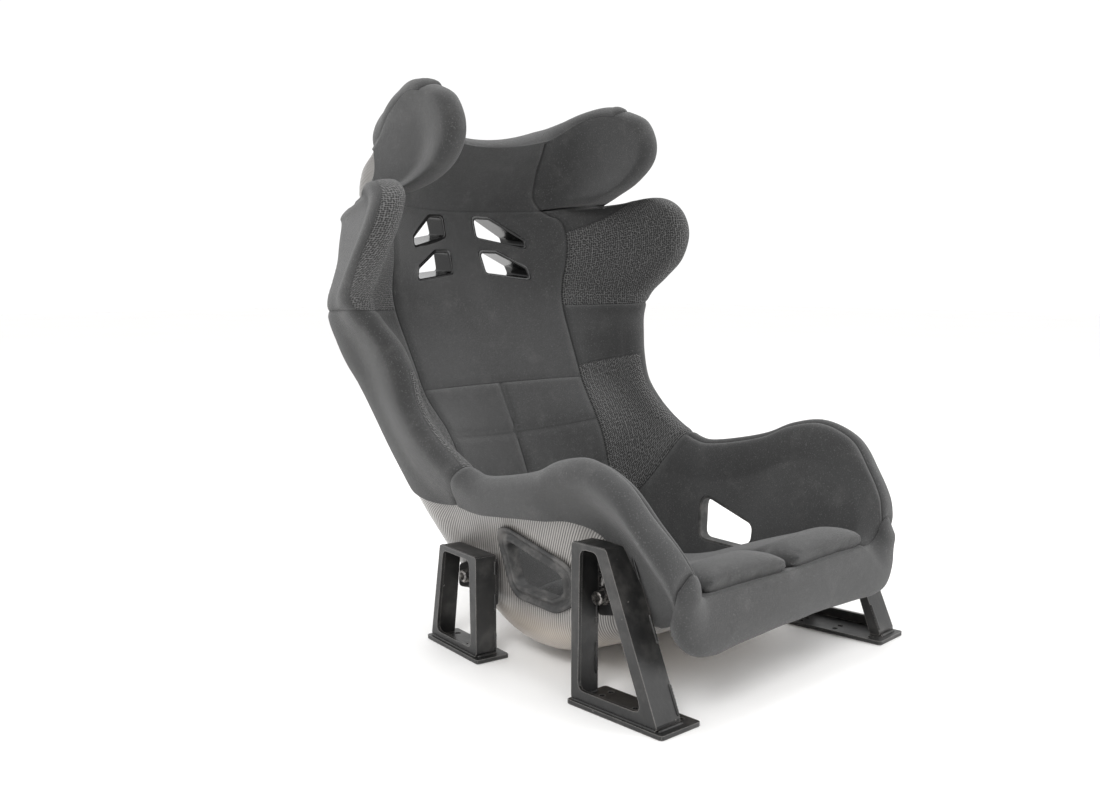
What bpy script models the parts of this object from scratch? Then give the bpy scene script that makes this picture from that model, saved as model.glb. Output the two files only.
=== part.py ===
"""A fixed-back racing seat: a composite bucket shell in sewn foam covers, on four welded steel feet.

The seat faces -Y, +Z is up, and the origin is on the floor in the middle of the seat's box.
The sitter's right side is -X. Lengths in this file are millimetres until a mesh is made.
"""
import math

import bmesh
import bpy
import numpy as np

MM = 0.001
GAP = 0.4                 # clearance between neighbouring pieces
ROLL_CREST = 10           # index of a side's highest point among its top points
SHELL_WALL = 4.0          # laminate thickness
OUTER_GAP = 1.0           # clearance between the shell and the covers on its outside
EDGE_GAP = 2.0            # clearance between the shell's edge and the cover folded over it
END_GAP = 5.0             # clearance between the end rolls and the rows they finish
CENTRE_COUNT = 5          # points along the shell from its middle plane to the seam of the centre padding
SIDE_COUNT = 6            # points from that seam to where the cover's outer band ends
BAND_COUNT = 5            # points from there to the edge
COVER_BAND = 4.0          # cover and thin foam on the outside of the shell
LEAST_PAD = 9.0           # thinnest padding on the inside of the shell
BAND_TAPER = 75.0         # length over which the rolled edge thins out to the band
FINE = 160                # points used to measure along a shell line
ROW_GAP = 0.02            # clearance between covers in a row, counted in sections
CENTRE_Y = 107.5          # moves the side profile below so that the seat's box is centred on the origin

# The seat is lofted through sections, from the front lip to the top of the head restraint.
# Each section lies along the line from the centre of the padding to the core of the rolled edge.
# centre y, z | edge y, z, x | seam x, rise | thickness | corner x, rise, radius | tuck | roll | bow | band
SECTIONS = (
    (-456, 150, -460, 168, 226, 186, 1, 28, 222, 4, 14, 0, 20, 0, 60),
    (-446, 148, -450, 194, 238, 186, 2, 31, 220, 4, 28, 2, 22, 0, 90),
    (-425, 142, -425, 228, 250, 186, 3, 34, 214, 4, 40, 6, 23, 0, 135),
    (-388, 124, -390, 268, 258, 184, 4, 38, 208, 4, 50, 14, 23, 0, 165),
    (-335, 104, -336, 289, 258, 182, 5, 42, 208, 4, 55, 26, 22, 0, 95),
    (-280, 84, -282, 281, 255, 180, 6, 46, 208, 5, 55, 26, 22, 0, 64),
    (-225, 66, -236, 262, 250, 178, 6, 50, 206, 6, 60, 20, 22, 0, 46),
    (-170, 56, -180, 248, 245, 174, 8, 50, 202, 8, 65, 17, 22, 0, 34),
    (-112, 60, -130, 240, 243, 170, 10, 50, 196, 10, 70, 17, 22, 0, 30),
    (-52, 84, -102, 243, 243, 166, 14, 46, 193, 12, 75, 16, 22, 0, 38),
    (0, 128, -78, 252, 244, 162, 20, 48, 199, 14, 80, 12, 22, 0, 56),
    (35, 184, -50, 266, 245, 158, 28, 46, 216, 14, 80, 2, 22, 0, 90),
    (60, 240, -20, 286, 247, 158, 34, 46, 228, 10, 80, 0, 22, 0, 125),
    (82, 290, 10, 313, 249, 161, 30, 46, 240, 4, 75, 0, 22, 0, 150),
    (110, 346, 38, 350, 250, 171, 19, 46, 253, 0, 55, 0, 22, 0, 170),
    (130, 392, 52, 392, 254, 175, 17, 52, 266, 0, 42, 0, 22, 0, 180),
    (147, 430, 66, 432, 266, 178, 16, 54, 272, 0, 42, 0, 22, 0, 190),
    (162, 465, 84, 468, 288, 181, 15, 52, 275, 0, 48, 0, 23, 0, 190),
    (175, 494, 84, 498, 305, 183, 20, 48, 270, 2, 60, 0, 24, 0, 190),
    (188, 522, 58, 526, 314, 184, 34, 40, 257, 4, 75, 0, 25, 0, 190),
    (200, 550, 28, 558, 320, 185, 52, 34, 244, 5, 85, 0, 25, 0, 195),
    (213, 582, 8, 601, 313, 186, 66, 32, 236, 6, 90, 0, 25, 0, 200),
    (220, 604, 12, 639, 299, 184, 68, 32, 230, 6, 90, 0, 24, 0, 200),
    (223, 615, 42, 658, 288, 178, 62, 34, 226, 6, 80, 0, 22, 0, 185),
    (225, 625, 85, 651, 262, 168, 52, 34, 218, 6, 70, 0, 20, 0, 140),
    (225, 637, 122, 647, 228, 158, 44, 34, 206, 6, 60, 0, 19, 0, 110),
    (223, 650, 74, 661, 206, 150, 36, 34, 199, 6, 55, 0, 19, 0, 135),
    (218, 660, 24, 682, 203, 144, 30, 36, 199, 4, 50, 0, 19, 0, 165),
    (207, 679, -8, 712, 205, 140, 26, 40, 201, 2, 50, 0, 20, 0, 180),
    (190, 700, -14, 745, 206, 136, 22, 44, 203, 0, 50, 0, 20, 8, 185),
    (169, 718, 4, 777, 206, 132, 20, 46, 204, 0, 50, 0, 20, 18, 175),
    (152, 737, 38, 792, 204, 130, 18, 46, 203, 0, 50, 0, 20, 24, 160),
)
COLUMNS = ("cy", "cz", "ey", "ez", "ex", "seam_x", "seam_w", "thick", "corner_x", "corner_w",
           "corner_r", "tuck", "roll", "bow", "band")
LAST = len(SECTIONS) - 1

# Where one cover ends and the next begins, counted in sections.
LIP, WAIST_SEAM, SHOULDER_SEAM, NECK, CROWN = 0.0, 10.1, 17.4, 25.0, LAST
LUMBAR_BOTTOM, LUMBAR_TOP = 11.6, 14.2
HEAD_WING = NECK + 0.3
BASE_FRONT = 0.5
SEAMS = (WAIST_SEAM, SHOULDER_SEAM, NECK, HEAD_WING, LUMBAR_BOTTOM, LUMBAR_TOP)
# Every cover and the shell have a row of points at each of these, so neighbours keep their gap.
SPARE_ROWS = (5, 7, 13, 16, 22, 28, 30)
STATIONS = sorted(SEAMS + (0.5, 9.5) + tuple(
    k for k in range(LAST + 1) if k not in SPARE_ROWS and all(abs(k - seam) > 0.25 for seam in SEAMS)))
CUSHION_FRONT, CUSHION_BACK, CUSHION_THICK = 0.12, 8.2, 40.0
CUSHION_GAP, CUSHION_COUNT = 4.0, 9

SIDES = ((1, "left"), (-1, "right"))
SCREW, WASHER, INSERT = 12.0, 3.0, 20.0
STEEL, BASE_STEEL = 5.0, 6.0          # sheet thickness of the feet
TRIM_WALL, TRIM_FLANGE, TRIM_DEPTH = 3.5, 20.0, 12.0
LINER = 3.0
SLOT_Y, SLOT_RISE = 215.0, 0.1
LAP_CUT, BACK_CUT = (120, 330), (170, 440)   # how far the cutters of the openings reach, in x and in y
# Openings, anticlockwise: lap belt in (y, z) at the side, shoulder belts in (x, z) at the back.
LAP_OPENING = ((-142, 176), (-246, 142), (-246, 116), (-224, 104), (-150, 108))
HARNESS_SLOTS = {
    "upper": ((36, 594), (120, 580), (119, 592), (64, 624), (36, 624)),
    "lower": ((38, 536), (122, 528), (116, 544), (66, 568), (36, 568)),
}


def section(s):
    """The section at position s, by Catmull-Rom through the listed ones."""
    i = min(int(s), LAST - 1)
    t = s - i
    rows = [SECTIONS[min(max(k, 0), LAST)] for k in (i - 1, i, i + 1, i + 2)]
    a, b, c, d = (np.array(row, float) for row in rows)
    value = 0.5 * (2 * b + (c - a) * t + (2 * a - 5 * b + 4 * c - d) * t ** 2
                   + (3 * b - a - 3 * c + d) * t ** 3)
    return dict(zip(COLUMNS, value))


def bezier(a, b, c, t):
    t = np.asarray(t)[:, None]
    return (1 - t) ** 2 * a + 2 * t * (1 - t) * b + t ** 2 * c


def reach(sec):
    """Distance from the section's centre to its edge."""
    return math.hypot(sec["ey"] - sec["cy"], sec["ez"] - sec["cz"])


def shell_line(sec):
    """Half of the shell's outer face: along the back, round the corner and up the side to the edge."""
    back = np.array([0.0, -sec["thick"]])
    corner = np.array([sec["corner_x"], sec["corner_w"] - sec["thick"]])
    edge = np.array([sec["ex"], reach(sec)])
    bend = (corner + edge) / 2 + sec["tuck"] * np.array([-1.0, 0.5])
    inward = (back - corner) / np.linalg.norm(back - corner)
    upward = (bend - corner) / np.linalg.norm(bend - corner)
    turn = math.acos(np.clip(-inward @ upward, -1, 1))
    trim = sec["corner_r"] * math.tan(turn / 2)
    trim = min(trim, 0.8 * sec["corner_x"], 0.8 * np.linalg.norm(bend - corner))
    start, end = corner + inward * trim, corner + upward * trim
    flat = back + np.linspace(0, 1, 9)[:-1, None] * (start - back)
    arc = bezier(start, corner, end, np.linspace(0, 1, 9))
    side = bezier(end, bend, edge, np.linspace(0, 1, 13)[1:])
    return np.concatenate([flat, arc, side])


def normals(line):
    """Unit normals on the padded side of a line that runs outward and up."""
    step = np.gradient(line, axis=0)
    step /= np.linalg.norm(step, axis=1)[:, None]
    return np.stack([-step[:, 1], step[:, 0]], 1)


def lengths(line):
    return np.concatenate([[0], np.cumsum(np.linalg.norm(np.diff(line, axis=0), axis=1))])


def resample(line, start, end, count):
    """Points spaced evenly along a line, between two lengths along it."""
    along = lengths(line)
    at = np.linspace(start, end, count)
    return np.stack([np.interp(at, along, line[:, k]) for k in (0, 1)], 1)


def length_at_x(line, x):
    """Length along the line, where it first reaches x."""
    index = int(np.argmax(line[:, 0] >= x))
    share = (x - line[index - 1, 0]) / (line[index, 0] - line[index - 1, 0])
    along = lengths(line)
    return along[index - 1] + share * (along[index] - along[index - 1])


def edge_frame(sec):
    """Directions at the rolled edge: up along the side, and towards the sitter."""
    line = shell_line(sec)
    up = line[-1] - line[-2]
    up /= np.linalg.norm(up)
    return up, np.array([-up[1], up[0]])


def dish(sec, x):
    """Rise of the centre padding at x."""
    return sec["seam_w"] * (np.asarray(x) / sec["seam_x"]) ** 2


def bolster_top(sec, gap, wall=7, roll=5, band=BAND_COUNT - 1):
    """Padded face of a side: from the seam up the wall, over the roll and down the outside."""
    edge = np.array([sec["ex"], reach(sec)])
    up, inner = edge_frame(sec)
    x = sec["seam_x"] + gap
    seam = np.array([x, float(dish(sec, x))])
    slope = 2 * sec["seam_w"] / sec["seam_x"]
    leave = np.array([1.0, slope]) / math.hypot(1, slope)
    meet = edge + inner * sec["roll"]
    pull = np.linalg.norm(meet - seam)
    t = np.linspace(0, 1, wall)[:, None]
    face = ((2 * t ** 3 - 3 * t ** 2 + 1) * seam + (t ** 3 - 2 * t ** 2 + t) * pull * leave
            + (3 * t ** 2 - 2 * t ** 3) * meet + (t ** 3 - t ** 2) * pull * up)
    line = shell_line(sec)
    lining = line + (SHELL_WALL + GAP) * normals(line)
    room = np.interp(face[:, 1], lining[12:, 1], lining[12:, 0]) - LEAST_PAD
    face[1:-1, 0] = np.minimum(face, room[:, None])[1:-1, 0]
    angle = np.linspace(0, math.pi, roll + 2)[1:-1, None]
    crest = edge + sec["roll"] * (np.cos(angle) * inner + np.sin(angle) * up)
    total = lengths(line)[-1]
    down = np.linspace(0, band_width(sec), band + 1)
    stand = OUTER_GAP + COVER_BAND
    share = np.clip(down / BAND_TAPER, 0, 1)
    stand = stand + (sec["roll"] - stand) * (1 - share * share * (3 - 2 * share))
    fine = resample(line, 0, total, FINE)
    index = (total - down) / total * (FINE - 1)
    base, aim = (np.stack([np.interp(index, np.arange(FINE), values[:, k]) for k in (0, 1)], 1)
                 for values in (fine, normals(fine)))
    outside = base - stand[:, None] * aim
    return np.concatenate([face, crest, outside])


def band_width(sec):
    """How far the cover comes down the outside of the shell from its edge."""
    line = shell_line(sec)
    seam = length_at_x(line, min(sec["seam_x"], line[:, 0].max() - 2.5))
    return min(sec["band"], lengths(line)[-1] - seam - 15)


def shell_points(sec, offset, part="all", trim=0.0):
    """Points along the shell at shared places, moved off its outer face towards the sitter by an offset."""
    line = shell_line(sec)
    total = lengths(line)[-1]
    seam = length_at_x(line, min(sec["seam_x"], line[:, 0].max() - 2.5))
    band_end = total - band_width(sec)
    centre = np.linspace(0, seam, CENTRE_COUNT)
    band = np.linspace(band_end, total, BAND_COUNT)
    side = np.concatenate([np.linspace(seam, band_end, SIDE_COUNT), band[1:]])
    centre[-1] -= trim
    side[0] += trim
    parts = {"centre": centre, "side": side, "band": band[::-1], "all": np.concatenate([centre, side[1:]])}
    at = parts[part]
    fine = resample(line, 0, total, FINE)
    facing = normals(fine)
    index = at / total * (FINE - 1)
    base, aim = (np.stack([np.interp(index, np.arange(FINE), values[:, k]) for k in (0, 1)], 1)
                 for values in (fine, facing))
    return base + offset * aim


def bolster_under(sec, gap):
    """The face of a side's padding that lies on the shell, over its edge and down its outside."""
    line = shell_line(sec)
    up, inner = edge_frame(sec)
    inside = shell_points(sec, SHELL_WALL + GAP, "side", gap)
    tip = line[-1] + EDGE_GAP * up
    tips = np.array([tip + (SHELL_WALL + GAP) * inner, tip - OUTER_GAP * inner])
    return np.concatenate([inside, tips, shell_points(sec, -OUTER_GAP, "band")])


def centre_top(sec, gap):
    x = np.linspace(-1, 1, 2 * CENTRE_COUNT - 1) * (sec["seam_x"] - gap)
    return np.stack([x, dish(sec, x)], 1)


def centre_under(sec, gap):
    return whole_line(shell_points(sec, SHELL_WALL + GAP, "centre", gap))


def placed(sec, points):
    """Section points as 3-D points in millimetres."""
    centre = np.array([sec["cy"], sec["cz"]])
    along = np.array([sec["ey"], sec["ez"]]) - centre
    length = np.linalg.norm(along)
    along /= length
    across = np.array([-along[1], along[0]])
    share = np.clip(points[:, 1] / length, 0, 1)
    bow = sec["bow"] * 4 * share * (1 - share)
    flat = centre + points[:, 1:] * along - bow[:, None] * across
    return np.column_stack([points[:, 0], flat[:, 0] + CENTRE_Y, flat[:, 1]])


def new_object(name, verts, faces, material):
    mesh = bpy.data.meshes.new(name)
    mesh.from_pydata((np.asarray(verts) * MM).tolist(), [], faces)
    mesh.validate()
    bm = bmesh.new()
    bm.from_mesh(mesh)
    bmesh.ops.recalc_face_normals(bm, faces=bm.faces)
    if bm.calc_volume(signed=True) < 0:
        bmesh.ops.reverse_faces(bm, faces=bm.faces)
    bm.to_mesh(mesh)
    bm.free()
    mesh.materials.append(material)
    mesh.shade_smooth()
    mesh.set_sharp_from_angle(angle=math.radians(40))
    obj = bpy.data.objects.new(name, mesh)
    bpy.context.scene.collection.objects.link(obj)
    return obj


def slab(name, top, under, material, turned=()):
    """A closed solid between two equal grids of points, with the other diagonal in the turned columns."""
    rows, cols = len(top), len(top[0])
    verts = [point for grid in (top, under) for row in grid for point in row]

    def at(layer, i, j):
        return (layer * rows + i) * cols + j

    faces = []

    def quad(a, b, c, d):
        faces.extend(([a, b, c], [a, c, d]))

    for i in range(rows - 1):
        for j in range(cols - 1):
            near, far = (j + 1, j) if j in turned else (j, j + 1)
            for layer in (0, 1):
                quad(at(layer, i, near), at(layer, i, far), at(layer, i + 1, far), at(layer, i + 1, near))
    for i in range(rows - 1):
        for j in (0, cols - 1):
            quad(at(0, i, j), at(0, i + 1, j), at(1, i + 1, j), at(1, i, j))
    for j in range(cols - 1):
        for i in (0, rows - 1):
            quad(at(0, i, j), at(0, i, j + 1), at(1, i, j + 1), at(1, i, j))
    return new_object(name, verts, faces, material)


def rows_between(start, end):
    return [start, *(s for s in STATIONS if start + 0.05 < s < end - 0.05), end]


def row_of(s, face):
    """The points of a face at s, in line with its rows at the stations on either side."""
    low = max(k for k in STATIONS if k <= s)
    high = min([k for k in STATIONS if k > low], default=low + 1)
    share = (s - low) / (high - low)
    row = placed(section(low), face(section(low), GAP))
    if share < 1e-6:
        return row
    return row * (1 - share) + placed(section(high), face(section(high), GAP)) * share


def loft(name, start, end, top_of, under_of, material, side=1, whole=False):
    """A piece of the seat from one section to another. Neighbours share rows, columns and diagonals."""
    top, under = ([row_of(s, face) * (side, 1, 1) for s in rows_between(start, end)]
                  for face in (top_of, under_of))
    columns = len(top[0])
    turned = range(columns // 2) if whole else range(SIDE_COUNT + BAND_COUNT, columns)
    return slab(name, top, under, material, turned)


def material(name, colour, roughness, metallic=0.0):
    made = bpy.data.materials.new(name)
    made.use_nodes = True
    shader = made.node_tree.nodes["Principled BSDF"]
    shader.inputs["Base Color"].default_value = (*colour, 1)
    shader.inputs["Roughness"].default_value = roughness
    shader.inputs["Metallic"].default_value = metallic
    return made


def whole_line(line):
    """A half section mirrored to the full width."""
    return np.concatenate([line[:0:-1] * (-1, 1), line])


def shell_outer(sec, gap):
    return whole_line(shell_points(sec, 0))


def shell_inner(sec, gap):
    return whole_line(shell_points(sec, SHELL_WALL))


def end_roll(name, s, outward, thick, finish):
    """A half-round roll of padding along an end of the shell, from one rolled edge to the other."""
    sec = section(s)
    side = bolster_top(sec, 0)
    inside = np.concatenate([centre_top(sec, 0)[CENTRE_COUNT - 1:], side[1:ROLL_CREST]])
    line = shell_line(sec)
    outside = resample(line, 0, lengths(line)[-1], 40)
    down = np.linspace(lengths(line)[-1], 0, 40)
    share = np.clip(down / BAND_TAPER, 0, 1)
    stand = thick + (sec["roll"] - thick) * (1 - share * share * (3 - 2 * share))
    outside = np.concatenate([outside - stand[:, None] * normals(outside), side[ROLL_CREST - 1:ROLL_CREST]])
    halves = [resample(half, 0, lengths(half)[-1], 11)[:-1] for half in (inside, outside)]
    inner, outer = (placed(sec, whole_line(half)) for half in halves)
    near, far = section(max(s - 0.1, 0)), section(min(s + 0.1, LAST))
    away = np.array([0.0] + [far["c" + k] + far["e" + k] - near["c" + k] - near["e" + k] for k in "yz"])
    away *= outward / np.linalg.norm(away)
    middle, half = (inner + outer) / 2 + away * END_GAP, (inner - outer) / 2
    size = np.linalg.norm(half, axis=1)
    angles = np.linspace(0, math.pi, 7)
    top = [[m + h * math.cos(a) + away * (0.5 + r * math.sin(a)) for a in angles]
           for m, h, r in zip(middle, half, size)]
    under = [[m + h * math.cos(a) for a in angles] for m, h in zip(middle, half)]
    return slab(name, top, under, finish)


def cushion_half(sec, gap):
    """Flat upper face of one seat cushion before it is crowned."""
    inner, outer = CUSHION_GAP, sec["seam_x"] - CUSHION_GAP
    spread = np.cos(np.linspace(0, math.pi, CUSHION_COUNT))
    x = (inner + outer) / 2 - (outer - inner) / 2 * spread
    return np.stack([x, dish(sec, x) + 2 * GAP], 1)


def seat_cushion(name, side, finish):
    """A loose cushion: thick in its middle, thin along its four seams."""
    top, under = [], []
    stations = rows_between(CUSHION_FRONT, CUSHION_BACK)
    for s in stations:
        row = row_of(s, cushion_half)
        along = (s - CUSHION_FRONT) / (CUSHION_BACK - CUSHION_FRONT)
        across = np.linspace(0, math.pi, len(row))
        crown = math.sin(math.pi * (0.06 + 0.88 * along)) ** 0.4 * np.sqrt(np.maximum(np.sin(across), 0))
        sec = section(s)
        lift = np.array([0, sec["ey"] - sec["cy"], sec["ez"] - sec["cz"]])
        lift /= np.linalg.norm(lift)
        under.append(row * (side, 1, 1))
        top.append((row + lift * (2 + CUSHION_THICK * crown)[:, None]) * (side, 1, 1))
    return slab(name, top, under, finish)


def rounded(corners, radius, steps=3):
    """A closed outline with its corners rounded. A corner may carry its own radius as a third value."""
    points = []
    count = len(corners)
    for i, corner in enumerate(corners):
        here = np.array(corner[:2], float)
        before, after = (np.array(corners[k % count][:2], float) - here for k in (i - 1, i + 1))
        r = corner[2] if len(corner) > 2 else radius
        spans = [np.linalg.norm(arm) for arm in (before, after)]
        arms = [before / spans[0], after / spans[1]]
        half = math.acos(np.clip(arms[0] @ arms[1], -1, 1)) / 2
        trim = min(r / math.tan(half), 0.48 * min(spans))
        if trim < 0.05:
            points.append(here)
            continue
        start, end = here + arms[0] * trim, here + arms[1] * trim
        points.extend(bezier(start, here, end, np.linspace(0, 1, steps + 1)))
    return np.array(points)


def inset(corners, distance):
    """An anticlockwise outline moved in by a distance. A negative distance moves it out."""
    corners = np.array([corner[:2] for corner in corners], float)
    moved = []
    for i, here in enumerate(corners):
        before, after = corners[i - 1], corners[(i + 1) % len(corners)]
        sides = [arm / np.linalg.norm(arm) for arm in (here - before, after - here)]
        inward = [np.array([-side[1], side[0]]) for side in sides]
        lean = inward[0] + inward[1]
        moved.append(here + distance * lean / (1 + inward[0] @ inward[1]))
    return np.array(moved)


def circle(centre, radius, count=16):
    angle = np.linspace(0, 2 * math.pi, count, endpoint=False)
    return np.stack([centre[0] + radius * np.cos(angle), centre[1] + radius * np.sin(angle)], 1)


def plate(name, outline, holes, depth, place, finish):
    """A flat plate: its outline and holes filled, then extruded. place turns (a, b, depth) into a point."""
    bm = bmesh.new()
    for loop in (outline, *holes):
        verts = [bm.verts.new((a, b, depth[0])) for a, b in loop]
        for i, vert in enumerate(verts):
            bm.edges.new((vert, verts[(i + 1) % len(verts)]))
    bmesh.ops.triangle_fill(bm, use_beauty=True, use_dissolve=False, edges=bm.edges)
    lifted = bmesh.ops.extrude_face_region(bm, geom=bm.faces[:])["geom"]
    for item in lifted:
        if isinstance(item, bmesh.types.BMVert):
            item.co.z = depth[1]
    bm.verts.index_update()
    verts = [place(*vert.co) for vert in bm.verts]
    faces = [[vert.index for vert in face.verts] for face in bm.faces]
    bm.free()
    return new_object(name, verts, faces, finish)


def cut(target, cutter):
    """Takes the cutter's shape out of the target, and leaves the cutter as a wire guide."""
    cutter.hide_render = True
    cutter.display_type = "WIRE"
    modifier = target.modifiers.new(f"cut {cutter.name}", "BOOLEAN")
    modifier.operation = "DIFFERENCE"
    modifier.object = cutter
    modifier.solver = "EXACT"


FEET = {
    # rear corner x, y | toe in degrees | depth of the box | base inside, outside, behind, ahead
    "front": dict(corner=(266, -309), toe=2.2, depth=47, side=((0, 6), (146, 6), (60, 206), (0, 206)),
                  window=((12, 20), (121, 20), (43, 199), (15, 199)), base=(-64, 5, -3, 157),
                  mount=((3, 104), (40, 112), (78, 104), (101, 100), (61, 200), (3, 200)),
                  bolt=(17, 132), spare=((8, 149), (8, 166))),
    "rear": dict(corner=(231, 13), toe=9.5, depth=38, side=((0, 6), (126, 6), (126, 146), (27, 146)),
                 window=((14, 15), (111, 15), (108, 139), (36, 139)), base=(-46, 6, -4, 138),
                 mount=((22, 78), (62, 84), (124, 70), (124, 139), (92, 139), (26, 112)),
                 bolt=(59, 103), spare=((90, 103), (90, 122))),
}


def foot_place(kind, side):
    """Turns a foot's own coordinates (forward, up, outward) into seat coordinates."""
    foot = FEET[kind]
    toe = math.radians(foot["toe"])
    x, y = foot["corner"]

    def place(forward, up, outward):
        return (side * (x + forward * math.sin(toe) + outward * math.cos(toe)),
                y - forward * math.cos(toe) + outward * math.sin(toe) + CENTRE_Y, up)

    return place


def shell_samples():
    """Many points on the outer face of the shell's left side, in seat coordinates."""
    rows = [section(s) for s in np.linspace(0, 14, 281)]
    return np.concatenate([placed(row, resample(shell_line(row), 60, lengths(shell_line(row))[-1], 120))
                           for row in rows])


SHELL_POINTS = shell_samples()


def wall_reach(kind, spot, radius):
    """How far outward the shell's outer face comes around a spot of a foot, in that foot's coordinates."""
    foot = FEET[kind]
    toe = math.radians(foot["toe"])
    dx = SHELL_POINTS[:, 0] - foot["corner"][0]
    dy = SHELL_POINTS[:, 1] - CENTRE_Y - foot["corner"][1]
    forward = dx * math.sin(toe) - dy * math.cos(toe)
    outward = dx * math.cos(toe) + dy * math.sin(toe)
    near = np.hypot(forward - spot[0], SHELL_POINTS[:, 2] - spot[1]) < radius
    return outward[near].max()


def wall_x(y, z):
    """Distance of the shell's outer face from the seat's middle plane, at a height and depth."""
    gap = np.hypot(SHELL_POINTS[:, 1] - y, SHELL_POINTS[:, 2] - z)
    nearest = np.argsort(gap)[:4]
    return float(SHELL_POINTS[nearest, 0].mean())


def joined_loops(name, loops, finish):
    """A closed ring through section loops with equal counts of points."""
    rows, cols = len(loops), len(loops[0])
    verts = [point for loop in loops for point in loop]
    faces = [[i * cols + j, i * cols + (j + 1) % cols, (i + 1) % rows * cols + (j + 1) % cols,
              (i + 1) % rows * cols + j] for i in range(rows) for j in range(cols)]
    return new_object(name, verts, faces, finish)


def turned(name, profile, centre, place, finish, steps=12):
    """A profile of (radius, outward) points turned about an outward axis. Radius 0 closes an end."""
    verts, rings = [], []
    for radius, outward in profile:
        if radius == 0:
            rings.append([len(verts)] * steps)
            verts.append(place(*centre, outward))
            continue
        rings.append(list(range(len(verts), len(verts) + steps)))
        verts.extend(place(*point, outward) for point in circle(centre, radius, steps))
    faces = []
    ring_pairs = list(zip(rings, rings[1:]))
    if profile[0][0] != 0:
        ring_pairs.append((rings[-1], rings[0]))
    for a, b in ring_pairs:
        for k in range(steps):
            n = (k + 1) % steps
            faces.append(list(dict.fromkeys([a[k], a[n], b[n], b[k]])))
    return new_object(name, verts, faces, finish)


def screw(label, kind, place, shell, finish):
    """A socket head cap screw through the foot into a threaded insert in the shell."""
    design = FEET[kind]
    spot, face = design["bolt"], -design["depth"]
    end = wall_reach(kind, spot, INSERT / 2) - SHELL_WALL + 1.5
    seat = face + STEEL
    head = seat + WASHER + GAP
    half = SCREW / 2
    wide = half * 1.5
    outlines = {
        "mount_screw": [(0, head + 6), (half - 1, head + 6), (half - 1, head + SCREW - 0.6),
                        (wide - 0.6, head + SCREW), (wide, head + SCREW - 0.8), (wide, head),
                        (half, head), (half, end), (0, end)],
        "mount_washer": [(half + 0.5, seat), (half * 1.8, seat), (half * 1.8, seat + WASHER),
                         (half + 0.5, seat + WASHER)],
        "shell_insert": [(half + GAP, end), (INSERT / 2, end), (INSERT / 2, face - GAP),
                         (half + GAP, face - GAP)],
    }
    for name, outline in outlines.items():
        turned(f"{name}_{label}", outline, spot, place, finish)
    hole = [(0, face - 60), (INSERT / 2 + GAP, face - 60), (INSERT / 2 + GAP, face), (0, face)]
    cut(shell, turned(f"cutter_insert_{label}", hole, spot, place, finish))


def cut_lap_opening(shell, pad, side, word, finish):
    """The hole in the side of the shell for one half of the lap belt, and the trim that lines it."""
    def sideways(y, z, x):
        return (side * x, y + CENTRE_Y, z)

    hole = rounded(inset(LAP_OPENING, -TRIM_WALL - GAP), 14 + TRIM_WALL + GAP)
    for target in (shell, pad):
        cut(target, plate(f"cutter_lap_{target.name}_{word}", hole, [], LAP_CUT, sideways, finish))
    opening, collar, flange = (rounded(inset(LAP_OPENING, -out), 14 + out)
                               for out in (0, TRIM_WALL, TRIM_FLANGE))
    loops = []
    for a, b, c in zip(opening, collar, flange):
        seat_b, seat_c = (wall_x(point[0] + CENTRE_Y, point[1]) + 4 * GAP for point in (b, c))
        loops.append([sideways(*a, seat_b - TRIM_DEPTH), sideways(*b, seat_b - TRIM_DEPTH),
                      sideways(*b, seat_b + GAP), sideways(*c, seat_c + 1), sideways(*c, seat_c + 5),
                      sideways(*a, seat_b + 9)])
    joined_loops(f"lap_belt_trim_{word}", loops, finish)


def face_y(x, z, depth_of):
    """Seat depth of a face behind the sitter at x and height z. depth_of gives its depth in a section."""
    points = []
    for s in np.linspace(18, 26, 81):
        sec = section(s)
        points.append(placed(sec, np.array([[x, depth_of(sec, x)]]))[0])
    points = np.array(points)
    return float(np.interp(z, points[:, 2], points[:, 1]))


def shell_depth(sec, x):
    line = shell_line(sec)
    return float(np.interp(x, line[:, 0], line[:, 1]))


def harness_slot(name, outline, side, shell, back, finish):
    """A shoulder belt slot through the back panel and the shell, with its liner."""
    def rearward(x, z, y):
        return (side * x, y, z + SLOT_RISE * (y - CENTRE_Y - SLOT_Y))

    hole = rounded(inset(outline, -LINER - GAP), 8, 2)
    for target in (shell, back):
        cut(target, plate(f"cutter_{target.name}_{name}", hole, [], BACK_CUT, rearward, finish))
    loops = []
    for a, b in zip(rounded(outline, 6, 2), rounded(inset(outline, -LINER), 8, 2)):
        front = face_y(a[0], a[1], lambda sec, x: float(dish(sec, x))) + 2
        rear = face_y(a[0], a[1], shell_depth) + 4
        loops.append([rearward(*a, front), rearward(*b, front), rearward(*b, rear), rearward(*a, rear)])
    joined_loops(f"harness_slot_{name}", loops, finish)


def foot_clearance(sec, gap):
    """Outer face of the shell and its covers' bands, with room for the feet."""
    points, line = shell_points(sec, -1.2, "side"), shell_points(sec, -OUTER_GAP - COVER_BAND - 4, "side")
    points[SIDE_COUNT - 1:] = line[SIDE_COUNT - 1:]
    return points


def foot_clearance_inner(sec, gap):
    return shell_points(sec, SHELL_WALL + 12, "side")


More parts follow.
